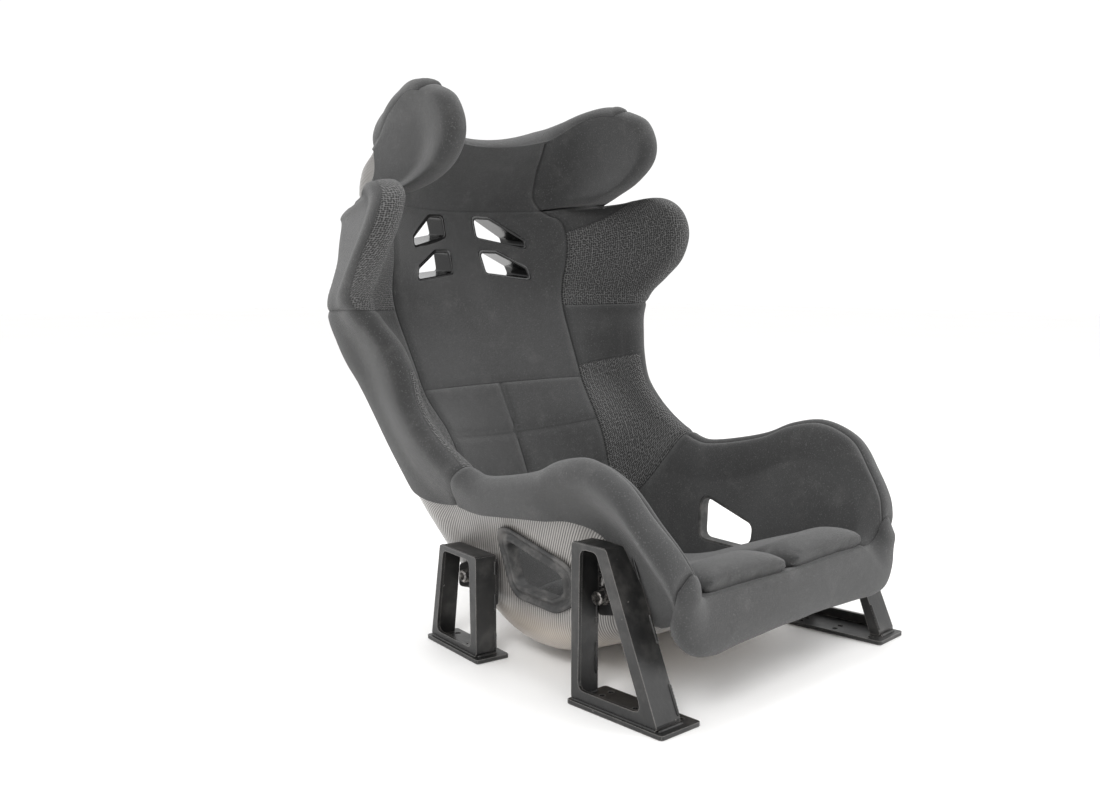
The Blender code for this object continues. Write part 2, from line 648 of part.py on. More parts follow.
def foot(kind, side, word, shell, steel, bare_steel, room):
    """One welded foot, and the screw that holds the shell to it."""
    design, place = FEET[kind], foot_place(kind, side)
    label = f"{kind}_{word}"
    box = plate(f"foot_box_{label}", rounded(design["side"], 4, 2), [], (-design["depth"] + STEEL, 0),
                place, steel)
    inner = inset(design["side"], STEEL)
    inner[:2, 1] = -20
    cut(box, plate(f"cutter_box_{label}", inner, [], (-design["depth"] - 10, -STEEL), place, steel))
    window = rounded(design["window"], 10)
    cut(box, plate(f"cutter_window_{label}", window, [], (-STEEL - 8, 8), place, steel))
    cut(box, room)
    holes = [circle(c, SCREW / 2 + 0.6, 10) for c in (design["bolt"], *design["spare"])]
    cut(plate(f"foot_mount_plate_{label}", rounded(design["mount"], 8), holes,
              (-design["depth"], -design["depth"] + STEEL - GAP), place, steel), room)
    low, high, behind, ahead = design["base"]
    base = rounded([(behind, low), (ahead, low), (ahead, high), (behind, high)], 4, 2)
    drilled = [circle((behind + 22 + k * (ahead - behind - 44) / 2, row), 4.5, 8)
               for k in range(3) for row in (low + 12, low + 28)]

    def flat(forward, outward, up):
        return place(forward, up, outward)

    plate(f"foot_base_{label}", base, drilled, (0, BASE_STEEL - GAP), flat, steel)
    screw(label, kind, place, shell, bare_steel)


def main():
    for obj in list(bpy.data.objects):
        bpy.data.objects.remove(obj)
    velour = material("velour", (0.05, 0.05, 0.05), 0.95)
    composite = material("composite", (0.35, 0.34, 0.32), 0.4)
    rubber = material("rubber", (0.05, 0.05, 0.055), 0.6)
    liner = material("liner", (0.02, 0.02, 0.02), 0.25)
    steel = material("painted_steel", (0.02, 0.02, 0.02), 0.4, 0.2)
    bare_steel = material("bare_steel", (0.3, 0.3, 0.3), 0.35, 1.0)
    shell = loft("shell", LIP, CROWN, shell_inner, shell_outer, composite, whole=True)
    for side, word in SIDES:
        for name, start, end in (
            ("thigh_bolster_pad", LIP, WAIST_SEAM),
            ("waist_bolster_pad", WAIST_SEAM + ROW_GAP, SHOULDER_SEAM),
            ("shoulder_wing_pad", SHOULDER_SEAM + ROW_GAP, NECK),
            ("head_wing_pad", HEAD_WING, CROWN),
        ):
            pad = loft(f"{name}_{word}", start, end, bolster_top, bolster_under, velour, side)
            if name == "thigh_bolster_pad":
                cut_lap_opening(shell, pad, side, word, rubber)
        seat_cushion(f"seat_cushion_{word}", side, velour)
    loft("seat_base_pad", BASE_FRONT, LUMBAR_BOTTOM, centre_top, centre_under, velour, whole=True)
    loft("lumbar_pad", LUMBAR_BOTTOM + ROW_GAP, LUMBAR_TOP, centre_top, centre_under, velour, whole=True)
    back = loft("back_panel_pad", LUMBAR_TOP + ROW_GAP, NECK, centre_top, centre_under, velour, whole=True)
    loft("head_pad", NECK + ROW_GAP, CROWN, centre_top, centre_under, velour, whole=True)
    end_roll("head_top_roll", CROWN, 1, GAP + COVER_BAND, velour)
    end_roll("front_edge_roll", LIP, -1, 34.0, velour)
    for side, word in SIDES:
        for level, outline in HARNESS_SLOTS.items():
            harness_slot(f"{level}_{word}", outline, side, shell, back, liner)
        room = loft(f"cutter_feet_{word}", 2, 13, foot_clearance_inner, foot_clearance, steel, side)
        for kind in FEET:
            foot(kind, side, word, shell, steel, bare_steel, room)


main()
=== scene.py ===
"""Looks of a fixed-back racing seat: sewn covers, composite shell, welded feet, studio and camera.

The covers are lofted through the same sections as the seat's solids, only finer, so they lie where
the solids lie. Lengths are millimetres until a mesh is made.
"""
import math

import bpy
import numpy as np
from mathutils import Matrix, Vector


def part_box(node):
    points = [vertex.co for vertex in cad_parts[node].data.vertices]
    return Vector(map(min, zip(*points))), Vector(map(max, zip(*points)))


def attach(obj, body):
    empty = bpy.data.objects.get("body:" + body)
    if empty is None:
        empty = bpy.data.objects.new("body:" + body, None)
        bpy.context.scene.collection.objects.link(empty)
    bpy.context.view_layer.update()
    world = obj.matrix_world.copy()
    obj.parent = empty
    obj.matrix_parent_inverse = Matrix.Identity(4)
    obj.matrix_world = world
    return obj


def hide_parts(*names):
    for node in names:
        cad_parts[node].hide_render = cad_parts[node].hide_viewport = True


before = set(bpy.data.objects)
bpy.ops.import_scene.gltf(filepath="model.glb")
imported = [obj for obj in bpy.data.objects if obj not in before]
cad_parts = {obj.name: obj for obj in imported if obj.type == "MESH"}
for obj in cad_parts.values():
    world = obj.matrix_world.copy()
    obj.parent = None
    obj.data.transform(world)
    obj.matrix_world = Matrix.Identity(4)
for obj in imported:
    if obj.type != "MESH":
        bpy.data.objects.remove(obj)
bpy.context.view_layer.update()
rng = np.random.default_rng(7)

MM = 0.001
GAP = 0.4                 # clearance between neighbouring pieces
SHELL_WALL = 4.0          # laminate thickness
OUTER_GAP = 1.0           # clearance between the shell and the covers on its outside
EDGE_GAP = 2.0            # clearance between the shell's edge and the cover folded over it
COVER_BAND = 4.0          # cover and thin foam on the outside of the shell
LEAST_PAD = 9.0           # thinnest padding on the inside of the shell
BAND_TAPER = 75.0         # length over which the rolled edge thins out to the band
SEAM_INSET = 2.5          # least distance of the centre seam from the shell's widest point
LEAST_SIDE = 15           # least length of shell between the centre seam and the cover's band
CENTRE_Y = 107.5          # moves the side profile so that the seat's box is centred on the origin
FINE = 160                # points used to measure along a shell line
CENTRE_COUNT = 26         # points across half of the centre padding
SIDE_COUNT = 30           # points along the shell from the centre padding to the cover's band
BAND_COUNT = 24           # points across the band
ROWS_PER_SECTION = 7      # rows of points from one listed section to the next
WALL = SIDE_COUNT + BAND_COUNT - 1      # points on the inner wall of a side cover
ROLL = 17                               # points round its rolled edge

SEAM_DEPTH, SEAM_WIDTH = 3.6, 11.0      # how deep a seam pulls the cover in, and from how far
HEM = 1.2                 # distance of a seam beyond the end of a cover
SOFT_HEM = 9.0            # the same where a roll carries the cover on
NO_SEAM = 50.0            # a distance that means far from any seam
RIB_PITCH = 0.0042        # distance between the laminate's ribs, in metres
STEEL, SCREW, WASHER = 5.0, 12.0, 3.0
KNURL = 0.02              # height of the screws' knurling, as a share of the radius
TRIM_WALL, TRIM_DEPTH, LINER = 3.5, 12.0, 3.0
SLOT_Y, SLOT_RISE = 215.0, 0.1          # where the belt slots are measured, and their slope
LAP_CUT, BACK_CUT = (120, 330), (167.5, 437.5)      # reach of the cutters, in x and in y
FRONT_ROLL = 34.0         # depth of the front edge roll under the lip
CUSHION_GAP, CUSHION_STAND = 5.0, 2.0   # clearance beside a seat cushion, and under it
CUSHION_EDGE, CUSHION_CROWN = 4.0, 30.0

# The seat is lofted through sections, from the front lip to the top of the head restraint.
# Each section lies along the line from the centre of the padding to the core of the rolled edge.
# centre y, z | edge y, z, x | seam x, rise | thickness | corner x, rise, radius | tuck | roll | bow | band
SECTIONS = (
    (-456, 150, -460, 168, 226, 186, 1, 28, 222, 4, 14, 0, 20, 0, 60),
    (-446, 148, -450, 194, 238, 186, 2, 31, 220, 4, 28, 2, 22, 0, 90),
    (-425, 142, -425, 228, 250, 186, 3, 34, 214, 4, 40, 6, 23, 0, 135),
    (-388, 124, -390, 268, 258, 184, 4, 38, 208, 4, 50, 14, 23, 0, 165),
    (-335, 104, -336, 289, 258, 182, 5, 42, 208, 4, 55, 26, 22, 0, 95),
    (-280, 84, -282, 281, 255, 180, 6, 46, 208, 5, 55, 26, 22, 0, 64),
    (-225, 66, -236, 262, 250, 178, 6, 50, 206, 6, 60, 20, 22, 0, 46),
    (-170, 56, -180, 248, 245, 174, 8, 50, 202, 8, 65, 17, 22, 0, 34),
    (-112, 60, -130, 240, 243, 170, 10, 50, 196, 10, 70, 17, 22, 0, 30),
    (-52, 84, -102, 243, 243, 166, 14, 46, 193, 12, 75, 16, 22, 0, 38),
    (0, 128, -78, 252, 244, 162, 20, 48, 199, 14, 80, 12, 22, 0, 56),
    (35, 184, -50, 266, 245, 158, 28, 46, 216, 14, 80, 2, 22, 0, 90),
    (60, 240, -20, 286, 247, 158, 34, 46, 228, 10, 80, 0, 22, 0, 125),
    (82, 290, 10, 313, 249, 161, 30, 46, 240, 4, 75, 0, 22, 0, 150),
    (110, 346, 38, 350, 250, 171, 19, 46, 253, 0, 55, 0, 22, 0, 170),
    (130, 392, 52, 392, 254, 175, 17, 52, 266, 0, 42, 0, 22, 0, 180),
    (147, 430, 66, 432, 266, 178, 16, 54, 272, 0, 42, 0, 22, 0, 190),
    (162, 465, 84, 468, 288, 181, 15, 52, 275, 0, 48, 0, 23, 0, 190),
    (175, 494, 84, 498, 305, 183, 20, 48, 270, 2, 60, 0, 24, 0, 190),
    (188, 522, 58, 526, 314, 184, 34, 40, 257, 4, 75, 0, 25, 0, 190),
    (200, 550, 28, 558, 320, 185, 52, 34, 244, 5, 85, 0, 25, 0, 195),
    (213, 582, 8, 601, 313, 186, 66, 32, 236, 6, 90, 0, 25, 0, 200),
    (220, 604, 12, 639, 299, 184, 68, 32, 230, 6, 90, 0, 24, 0, 200),
    (223, 615, 42, 658, 288, 178, 62, 34, 226, 6, 80, 0, 22, 0, 185),
    (225, 625, 85, 651, 262, 168, 52, 34, 218, 6, 70, 0, 20, 0, 140),
    (225, 637, 122, 647, 228, 158, 44, 34, 206, 6, 60, 0, 19, 0, 110),
    (223, 650, 74, 661, 206, 150, 36, 34, 199, 6, 55, 0, 19, 0, 135),
    (218, 660, 24, 682, 203, 144, 30, 36, 199, 4, 50, 0, 19, 0, 165),
    (207, 679, -8, 712, 205, 140, 26, 40, 201, 2, 50, 0, 20, 0, 180),
    (190, 700, -14, 745, 206, 136, 22, 44, 203, 0, 50, 0, 20, 8, 185),
    (169, 718, 4, 777, 206, 132, 20, 46, 204, 0, 50, 0, 20, 18, 175),
    (152, 737, 38, 792, 204, 130, 18, 46, 203, 0, 50, 0, 20, 24, 160),
)
COLUMNS = ("cy", "cz", "ey", "ez", "ex", "seam_x", "seam_w", "thick", "corner_x", "corner_w",
           "corner_r", "tuck", "roll", "bow", "band")
LAST = len(SECTIONS) - 1

# Where one cover ends and the next begins, counted in sections.
LIP, WAIST_SEAM, SHOULDER_SEAM, NECK, CROWN = 0.0, 10.1, 17.4, 25.0, LAST
BASE_FRONT, LUMBAR_LOW, LUMBAR_TOP = 0.3, 9.9, 14.2
LUMBAR_ROWS = (0.34, 0.67)              # quilting seams, as shares of the lumbar cover's height
HEAD_WING = NECK + 0.3
SHOULDER_KNIT_TOP = (21.6, 24.4)        # top of the knitted mesh, at the inner seam and at the crest
WAIST_KNIT_TOP = 14.6
# Openings, anticlockwise: lap belt in (y, z) at the side, shoulder belts in (x, z) at the back.
LAP_OPENING = ((-142, 176), (-246, 142), (-246, 116), (-224, 104), (-150, 108))
HARNESS_SLOTS = {
    "upper": ((36, 594), (120, 580), (119, 592), (64, 624), (36, 624)),
    "lower": ((38, 536), (122, 528), (116, 544), (66, 568), (36, 568)),
}
SLOT_CORNER = 6           # corner radius of the belt slots
SIDES = ((1, "left"), (-1, "right"))
FEET = {
    # rear corner x, y | toe in degrees | depth of the box | its outline and its screw, as (forward, up)
    "front": dict(corner=(266, -309), toe=2.2, depth=47, side=((0, 6), (146, 6), (60, 206), (0, 206)),
                  bolt=(17, 132)),
    "rear": dict(corner=(231, 13), toe=9.5, depth=38, side=((0, 6), (126, 6), (126, 146), (27, 146)),
                 bolt=(59, 103)),
}


# Sections

def section(s):
    """The section at position s, by Catmull-Rom through the listed ones."""
    i = min(int(s), LAST - 1)
    t = s - i
    rows = [SECTIONS[min(max(k, 0), LAST)] for k in (i - 1, i, i + 1, i + 2)]
    a, b, c, d = (np.array(row, float) for row in rows)
    value = 0.5 * (2 * b + (c - a) * t + (2 * a - 5 * b + 4 * c - d) * t ** 2
                   + (3 * b - a - 3 * c + d) * t ** 3)
    return dict(zip(COLUMNS, value))


def bezier(a, b, c, t):
    t = np.asarray(t)[:, None]
    return (1 - t) ** 2 * a + 2 * t * (1 - t) * b + t ** 2 * c


def reach(sec):
    """Distance from the section's centre to its edge."""
    return math.hypot(sec["ey"] - sec["cy"], sec["ez"] - sec["cz"])


def shell_line(sec):
    """Half of the shell's outer face: along the back, round the corner and up the side to the edge."""
    back = np.array([0.0, -sec["thick"]])
    corner = np.array([sec["corner_x"], sec["corner_w"] - sec["thick"]])
    edge = np.array([sec["ex"], reach(sec)])
    bend = (corner + edge) / 2 + sec["tuck"] * np.array([-1.0, 0.5])
    inward = (back - corner) / np.linalg.norm(back - corner)
    upward = (bend - corner) / np.linalg.norm(bend - corner)
    turn = math.acos(np.clip(-inward @ upward, -1, 1))
    trim = sec["corner_r"] * math.tan(turn / 2)
    trim = min(trim, 0.8 * sec["corner_x"], 0.8 * np.linalg.norm(bend - corner))
    start, end = corner + inward * trim, corner + upward * trim
    flat = back + np.linspace(0, 1, 9)[:-1, None] * (start - back)
    arc = bezier(start, corner, end, np.linspace(0, 1, 9))
    side = bezier(end, bend, edge, np.linspace(0, 1, 13)[1:])
    return np.concatenate([flat, arc, side])


def normals(line):
    """Unit normals on the padded side of a line that runs outward and up."""
    step = np.gradient(line, axis=0)
    step /= np.linalg.norm(step, axis=1)[:, None]
    return np.stack([-step[:, 1], step[:, 0]], 1)


def lengths(line):
    return np.concatenate([[0], np.cumsum(np.linalg.norm(np.diff(line, axis=0), axis=1))])


def resample(line, start, end, count):
    """Points spaced evenly along a line, between two lengths along it."""
    along = lengths(line)
    at = np.linspace(start, end, count)
    return np.stack([np.interp(at, along, line[:, k]) for k in (0, 1)], 1)


def length_at_x(line, x):
    """Length along the line, where it first reaches x."""
    index = int(np.argmax(line[:, 0] >= x))
    share = (x - line[index - 1, 0]) / (line[index, 0] - line[index - 1, 0])
    along = lengths(line)
    return along[index - 1] + share * (along[index] - along[index - 1])


def edge_frame(sec):
    """Directions at the rolled edge: up along the side, and towards the sitter."""
    line = shell_line(sec)
    up = line[-1] - line[-2]
    up /= np.linalg.norm(up)
    return up, np.array([-up[1], up[0]])


def dish(sec, x):
    """Rise of the centre padding at x."""
    return sec["seam_w"] * (np.asarray(x) / sec["seam_x"]) ** 2


def bolster_top(sec, gap, wall, roll, band):
    """Padded face of a side: from the seam up the wall, over the roll and down the outside."""
    edge = np.array([sec["ex"], reach(sec)])
    up, inner = edge_frame(sec)
    x = sec["seam_x"] + gap
    seam = np.array([x, float(dish(sec, x))])
    slope = 2 * sec["seam_w"] / sec["seam_x"]
    leave = np.array([1.0, slope]) / math.hypot(1, slope)
    meet = edge + inner * sec["roll"]
    pull = np.linalg.norm(meet - seam)
    t = np.linspace(0, 1, wall)[:, None]
    face = ((2 * t ** 3 - 3 * t ** 2 + 1) * seam + (t ** 3 - 2 * t ** 2 + t) * pull * leave
            + (3 * t ** 2 - 2 * t ** 3) * meet + (t ** 3 - t ** 2) * pull * up)
    line = shell_line(sec)
    lining = line + (SHELL_WALL + GAP) * normals(line)
    room = np.interp(face[:, 1], lining[12:, 1], lining[12:, 0]) - LEAST_PAD
    face[1:-1, 0] = np.minimum(face, room[:, None])[1:-1, 0]
    angle = np.linspace(0, math.pi, roll + 2)[1:-1, None]
    crest = edge + sec["roll"] * (np.cos(angle) * inner + np.sin(angle) * up)
    total = lengths(line)[-1]
    down = np.linspace(0, band_width(sec), band + 1)
    stand = tapered(sec["roll"], OUTER_GAP + COVER_BAND, down)
    return np.concatenate([face, crest, off_line(line, total - down, -stand)])


def tapered(roll, thin, down):
    """Thickness outside the shell, from the rolled edge's own to a thin one further down."""
    share = np.clip(down / BAND_TAPER, 0, 1)
    return thin + (roll - thin) * (1 - share * share * (3 - 2 * share))


def band_width(sec):
    """How far the cover comes down the outside of the shell from its edge."""
    line = shell_line(sec)
    seam = length_at_x(line, min(sec["seam_x"], line[:, 0].max() - SEAM_INSET))
    return min(sec["band"], lengths(line)[-1] - seam - LEAST_SIDE)


def shell_points(sec, offset, part="all", trim=0.0):
    """Points along the shell at shared places, moved off its outer face towards the sitter by an offset."""
    line = shell_line(sec)
    total = lengths(line)[-1]
    seam = length_at_x(line, min(sec["seam_x"], line[:, 0].max() - SEAM_INSET))
    band_end = total - band_width(sec)
    centre = np.linspace(0, seam, CENTRE_COUNT)
    band = np.linspace(band_end, total, BAND_COUNT)
    side = np.concatenate([np.linspace(seam, band_end, SIDE_COUNT), band[1:]])
    centre[-1] -= trim
    side[0] += trim
    parts = {"centre": centre, "side": side, "band": band[::-1], "all": np.concatenate([centre, side[1:]])}
    at = parts[part]
    return off_line(line, at, offset)


def off_line(line, at, offset):
    """Points at lengths along a line, moved off it by an offset for each or for all."""
    fine = resample(line, 0, lengths(line)[-1], FINE)
    index = at / lengths(line)[-1] * (FINE - 1)
    base, aim = (np.stack([np.interp(index, np.arange(FINE), values[:, k]) for k in (0, 1)], 1)
                 for values in (fine, normals(fine)))
    return base + np.reshape(offset, (-1, 1)) * aim


def placed(sec, points):
    """Section points as 3-D points in millimetres."""
    centre = np.array([sec["cy"], sec["cz"]])
    along = np.array([sec["ey"], sec["ez"]]) - centre
    length = np.linalg.norm(along)
    along /= length
    across = np.array([-along[1], along[0]])
    share = np.clip(points[:, 1] / length, 0, 1)
    bow = sec["bow"] * 4 * share * (1 - share)
    flat = centre + points[:, 1:] * along - bow[:, None] * across
    return np.column_stack([points[:, 0], flat[:, 0] + CENTRE_Y, flat[:, 1]])


def rounded(corners, radius, steps=3):
    """A closed outline with its corners rounded. A corner may carry its own radius as a third value."""
    points = []
    count = len(corners)
    for i, corner in enumerate(corners):
        here = np.array(corner[:2], float)
        before, after = (np.array(corners[k % count][:2], float) - here for k in (i - 1, i + 1))
        r = corner[2] if len(corner) > 2 else radius
        spans = [np.linalg.norm(arm) for arm in (before, after)]
        arms = [before / spans[0], after / spans[1]]
        half = math.acos(np.clip(arms[0] @ arms[1], -1, 1)) / 2
        trim = min(r / math.tan(half), 0.48 * min(spans))
        if trim < 0.05:
            points.append(here)
            continue
        start, end = here + arms[0] * trim, here + arms[1] * trim
        points.extend(bezier(start, here, end, np.linspace(0, 1, steps + 1)))
    return np.array(points)


def inset(corners, distance):
    """An anticlockwise outline moved in by a distance. A negative distance moves it out."""
    corners = np.array([corner[:2] for corner in corners], float)
    moved = []
    for i, here in enumerate(corners):
        before, after = corners[i - 1], corners[(i + 1) % len(corners)]
        sides = [arm / np.linalg.norm(arm) for arm in (here - before, after - here)]
        inward = [np.array([-side[1], side[0]]) for side in sides]
        lean = inward[0] + inward[1]
        moved.append(here + distance * lean / (1 + inward[0] @ inward[1]))
    return np.array(moved)


def foot_place(kind, side):
    """Turns a foot's own coordinates (forward, up, outward) into seat coordinates."""
    foot = FEET[kind]
    toe = math.radians(foot["toe"])
    x, y = foot["corner"]

    def place(forward, up, outward):
        return (side * (x + forward * math.sin(toe) + outward * math.cos(toe)),
                y - forward * math.cos(toe) + outward * math.sin(toe) + CENTRE_Y, up)

    return place


# Meshes

def padded_face(sec):
    """The padded face of a side's cover."""
    return bolster_top(sec, GAP, WALL, ROLL, BAND_COUNT - 1)


def cover_under(sec):
    """The hidden face of a side's cover, with as many points as its padded face."""
    line = shell_line(sec)
    up, inner = edge_frame(sec)
    tip = line[-1] + EDGE_GAP * up
    share = np.linspace(0, 1, ROLL)[:, None]
    tips = tip + inner * ((SHELL_WALL + GAP) * (1 - share) - OUTER_GAP * share)
    return np.concatenate([shell_points(sec, SHELL_WALL + GAP, "side", GAP), tips,
                           shell_points(sec, -OUTER_GAP, "band")])


def centre_top(sec, gap):
    x = np.linspace(-1, 1, 2 * CENTRE_COUNT - 1) * (sec["seam_x"] - gap)
    return np.stack([x, dish(sec, x)], 1)


def whole_line(line):
    """A half section mirrored to the full width."""
    return np.concatenate([line[:0:-1] * (-1, 1), line])


def centre_under(sec):
    return whole_line(shell_points(sec, SHELL_WALL + GAP, "centre", GAP))


def grid_of(start, end, face, side=1):
    """Points of a face, row by row, from one section to another."""
    count = max(round((end - start) * ROWS_PER_SECTION), 2) + 1
    sections = [section(s) for s in np.linspace(start, end, count)]
    return np.array([placed(sec, face(sec)) for sec in sections]) * (side, 1, 1)


def arcs(grid, axis):
    """Length from the start of each row (axis 1) or column (axis 0) to each point."""
    step = np.linalg.norm(np.diff(grid, axis=axis), axis=2)
    return np.cumsum(np.pad(step, [(1 - axis, 0), (axis, 0)]), axis=axis)


def facing(grid, side=1):
    """Unit normals on the padded side of a grid."""
    normal = np.cross(np.gradient(grid, axis=1), np.gradient(grid, axis=0)) * side
    return normal / np.maximum(np.linalg.norm(normal, axis=2, keepdims=True), 1e-9)


def sunk(distance, width, depth):
    """How far a surface dips at a distance from a seam."""
    return depth * (1 - np.clip(np.abs(distance) / width, 0, 1)) ** 2


def closed_mesh(name, verts, faces):
    """A mesh in metres from points in millimetres, with its faces turned outward."""
    verts, faces = np.asarray(verts, float), [list(face) for face in faces]
    corners = [[face[0], face[i], face[i + 1]] for face in faces for i in range(1, len(face) - 1)]
    if np.linalg.det(verts[np.array(corners)]).sum() < 0:
        faces = [face[::-1] for face in faces]
    mesh = bpy.data.meshes.new(name)
    mesh.from_pydata((verts * MM).tolist(), [], faces)
    return mesh


def make_object(name, verts, faces, finish, maps=None):
    """A piece of the seat. Each map gives every point two numbers for its material."""
    mesh = closed_mesh(name, verts, faces)
    mesh.validate()
    loop_verts = np.empty(len(mesh.loops), np.int32)
    mesh.loops.foreach_get("vertex_index", loop_verts)
    for map_name, values in (maps or {}).items():
        layer = mesh.uv_layers.new(name=map_name)
        layer.data.foreach_set("uv", np.asarray(values, np.float32)[loop_verts].ravel())
    mesh.materials.append(finish)
    mesh.shade_smooth()
    mesh.set_sharp_from_angle(angle=math.radians(50))
    obj = bpy.data.objects.new(name, mesh)
    bpy.context.scene.collection.objects.link(obj)
    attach(obj, "seat")
    return obj


def solid(name, top, under, finish, maps=None):
    """A closed solid between two grids. The maps give each point of the grid two numbers."""
    rows, cols = top.shape[:2]
    index = np.arange(2 * rows * cols).reshape(2, rows, cols)
    faces = []
    for layer, order in ((0, 1), (1, -1)):
        a, b, c, d = (index[layer, i:rows - 1 + i, j:cols - 1 + j].ravel() for i, j in
                      ((0, 0), (0, 1), (1, 1), (1, 0)))
        faces.extend(np.stack([a, b, c, d], 1)[:, ::order].tolist())
    for edge, order in ((index[:, 0], -1), (index[:, -1], 1), (index[:, :, 0], 1), (index[:, :, -1], -1)):
        wall = np.stack([edge[0, :-1], edge[0, 1:], edge[1, 1:], edge[1, :-1]], 1)
        faces.extend(wall[:, ::order].tolist())
    maps = {key: np.concatenate([value.reshape(-1, 2)] * 2) for key, value in (maps or {}).items()}
    return make_object(name, np.concatenate([top, under]).reshape(-1, 3), faces, finish, maps)


def loops_object(name, loops, finish, closed=True):
    """A surface through equal loops of points: a ring if closed, else capped at both ends."""
    loops = np.asarray(loops, float)
    rows, cols = loops.shape[:2]
    last = rows if closed else rows - 1
    faces = [[i * cols + j, i * cols + (j + 1) % cols, (i + 1) % rows * cols + (j + 1) % cols,
              (i + 1) % rows * cols + j] for i in range(last) for j in range(cols)]
    if not closed:
        faces += [list(range(cols))[::-1], list(range((rows - 1) * cols, rows * cols))]
    return make_object(name, loops.reshape(-1, 3), faces, finish)


def prism(outline, place, depths):
    """A cutter: an outline pushed from one depth to another."""
    verts = [place(*point, depth) for depth in depths for point in outline]
    count = len(outline)
    faces = [[i, (i + 1) % count, count + (i + 1) % count, count + i] for i in range(count)]
    faces += [list(range(count))[::-1], list(range(count, 2 * count))]
    obj = bpy.data.objects.new("cutter", closed_mesh("cutter", verts, faces))
    bpy.context.scene.collection.objects.link(obj)
    return obj


def carve(target, cutters):
    """Takes the cutters out of the target's mesh, and removes them."""
    for cutter in cutters:
        modifier = target.modifiers.new("cut", "BOOLEAN")
        modifier.object = cutter
        modifier.solver = "EXACT"
    settle(target)
    for cutter in cutters:
        bpy.data.objects.remove(cutter)


def settle(obj):
    """Puts the result of an object's modifiers into its mesh."""
    bpy.context.view_layer.update()
    graph = bpy.context.evaluated_depsgraph_get()
    made = bpy.data.meshes.new_from_object(obj.evaluated_get(graph), preserve_all_data_layers=True,
                                           depsgraph=graph)
    obj.modifiers.clear()
    obj.data = made


# Materials

class Graph:
    """A material's node tree, with short calls for the nodes used here."""

    def __init__(self, name, **settings):
        self.material = bpy.data.materials.new(name)
        self.material.use_nodes = True
        self.tree = self.material.node_tree
        self.shader = self.tree.nodes["Principled BSDF"]
        for key, value in settings.items():
            self.shader.inputs[key.replace("_", " ").title().replace("Ior", "IOR")].default_value = value

    def add(self, kind, inputs=(), out=0, **properties):
        node = self.tree.nodes.new("ShaderNode" + kind)
        for key, value in properties.items():
            setattr(node, key, value)
        for key, value in dict(inputs).items():
            self.put(node.inputs[key], value)
        return node.outputs[out]

    def put(self, socket, value):
        if isinstance(value, bpy.types.NodeSocket):
            self.tree.links.new(value, socket)
        else:
            socket.default_value = value

    def math(self, operation, a, b=0.0):
        return self.add("Math", {0: a, 1: b}, operation=operation)

    def blend(self, share, a, b):
        return self.add("Mix", {0: share, 6: a, 7: b}, 2, data_type="RGBA")

    def step(self, value, low, high):
        """0 below low, 1 above high, smooth between."""
        return self.add("MapRange", {0: value, 1: low, 2: high}, interpolation_type="SMOOTHSTEP")

    def noise(self, scale, detail=2.0, vector=None, rough=0.5):
        inputs = {"Scale": scale, "Detail": detail, "Roughness": rough}
        inputs["Vector"] = self.place if vector is None else vector
        return self.add("TexNoise", inputs)

    @property
    def place(self):
        return self.add("TexCoord", out=3)

    def uv(self, name):
        return self.add("UVMap", uv_map=name)

    def bump(self, height, distance, strength=1.0, normal=None):
        inputs = {"Height": height, "Distance": distance, "Strength": strength}
        if normal is not None:
            inputs["Normal"] = normal
        return self.add("Bump", inputs)


def grey(value, warmth=0.0):
    return (value * (1 + warmth), value, value * (1 - warmth), 1.0)


def velour_material(name, tone=1.0, zones=True):
    """Short-pile velour, dusty in patches.

    With zones, the piece's zone map says where it is knitted mesh, and where its seams are.
    """
    g = Graph(name, roughness=1.0, sheen_weight=0.24, sheen_roughness=0.7, specular_ior_level=0.02)
    cloud = g.step(g.noise(5.0, 4.0), 0.35, 0.68)
    base = g.blend(cloud, grey(0.016 * tone), grey(0.027 * tone, -0.01))
    dust = g.step(g.noise(22.0, 6.0, rough=0.7), 0.50, 0.78)
    base = g.blend(g.math("MULTIPLY", dust, 0.45), base, grey(0.065 * tone, 0.02))
    lint = g.step(g.noise(520.0, 1.0), 0.60, 0.74)
    base = g.blend(g.math("MULTIPLY", lint, 0.4), base, grey(0.12))
    pile = g.noise(1500.0, 1.0)
    normal = g.bump(g.noise(60.0, 3.0), 0.0012, 0.35)
    if zones:
        zone = g.add("SeparateXYZ", {0: g.uv("Zones")})
        knit_distance, seam_distance = zone, zone.node.outputs[1]
        knit = g.step(knit_distance, -0.0003, 0.0003)
        cells = g.add("Mapping", {"Vector": g.uv("Pattern"), "Scale": (1.0, 1.25, 1.0)})
        holes = g.add("TexVoronoi", {"Vector": cells, "Scale": 262.0, "Randomness": 0.42},
                      voronoi_dimensions="2D", feature="F1")
        thread = g.step(holes, 0.28, 0.62)
        knitted = g.blend(thread, grey(0.008 * tone), grey(0.095 * tone, 0.01))
        base = g.blend(knit, base, knitted)
        # Darker towards the seams and the knitted mesh's edges, near black at the seam: painted shade in the
        # sewn creases.
        seam = g.step(g.math("ABSOLUTE", seam_distance), 0.0006, 0.0034)
        edge = g.step(g.math("ABSOLUTE", knit_distance), 0.0006, 0.0022)
        seam = g.add("MapRange", {0: seam, 3: 0.28, 4: 1.0})
        base = g.blend(g.math("MULTIPLY", seam, g.math("MAXIMUM", edge, 0.35)), grey(0.003), base)
        pile = g.add("Mix", {0: knit, 2: pile, 3: g.math("MULTIPLY", thread, 2.2)})
    g.put(g.shader.inputs["Base Color"], base)
    g.put(g.shader.inputs["Normal"], g.bump(pile, 0.0007, 0.8, normal))
    return g.material


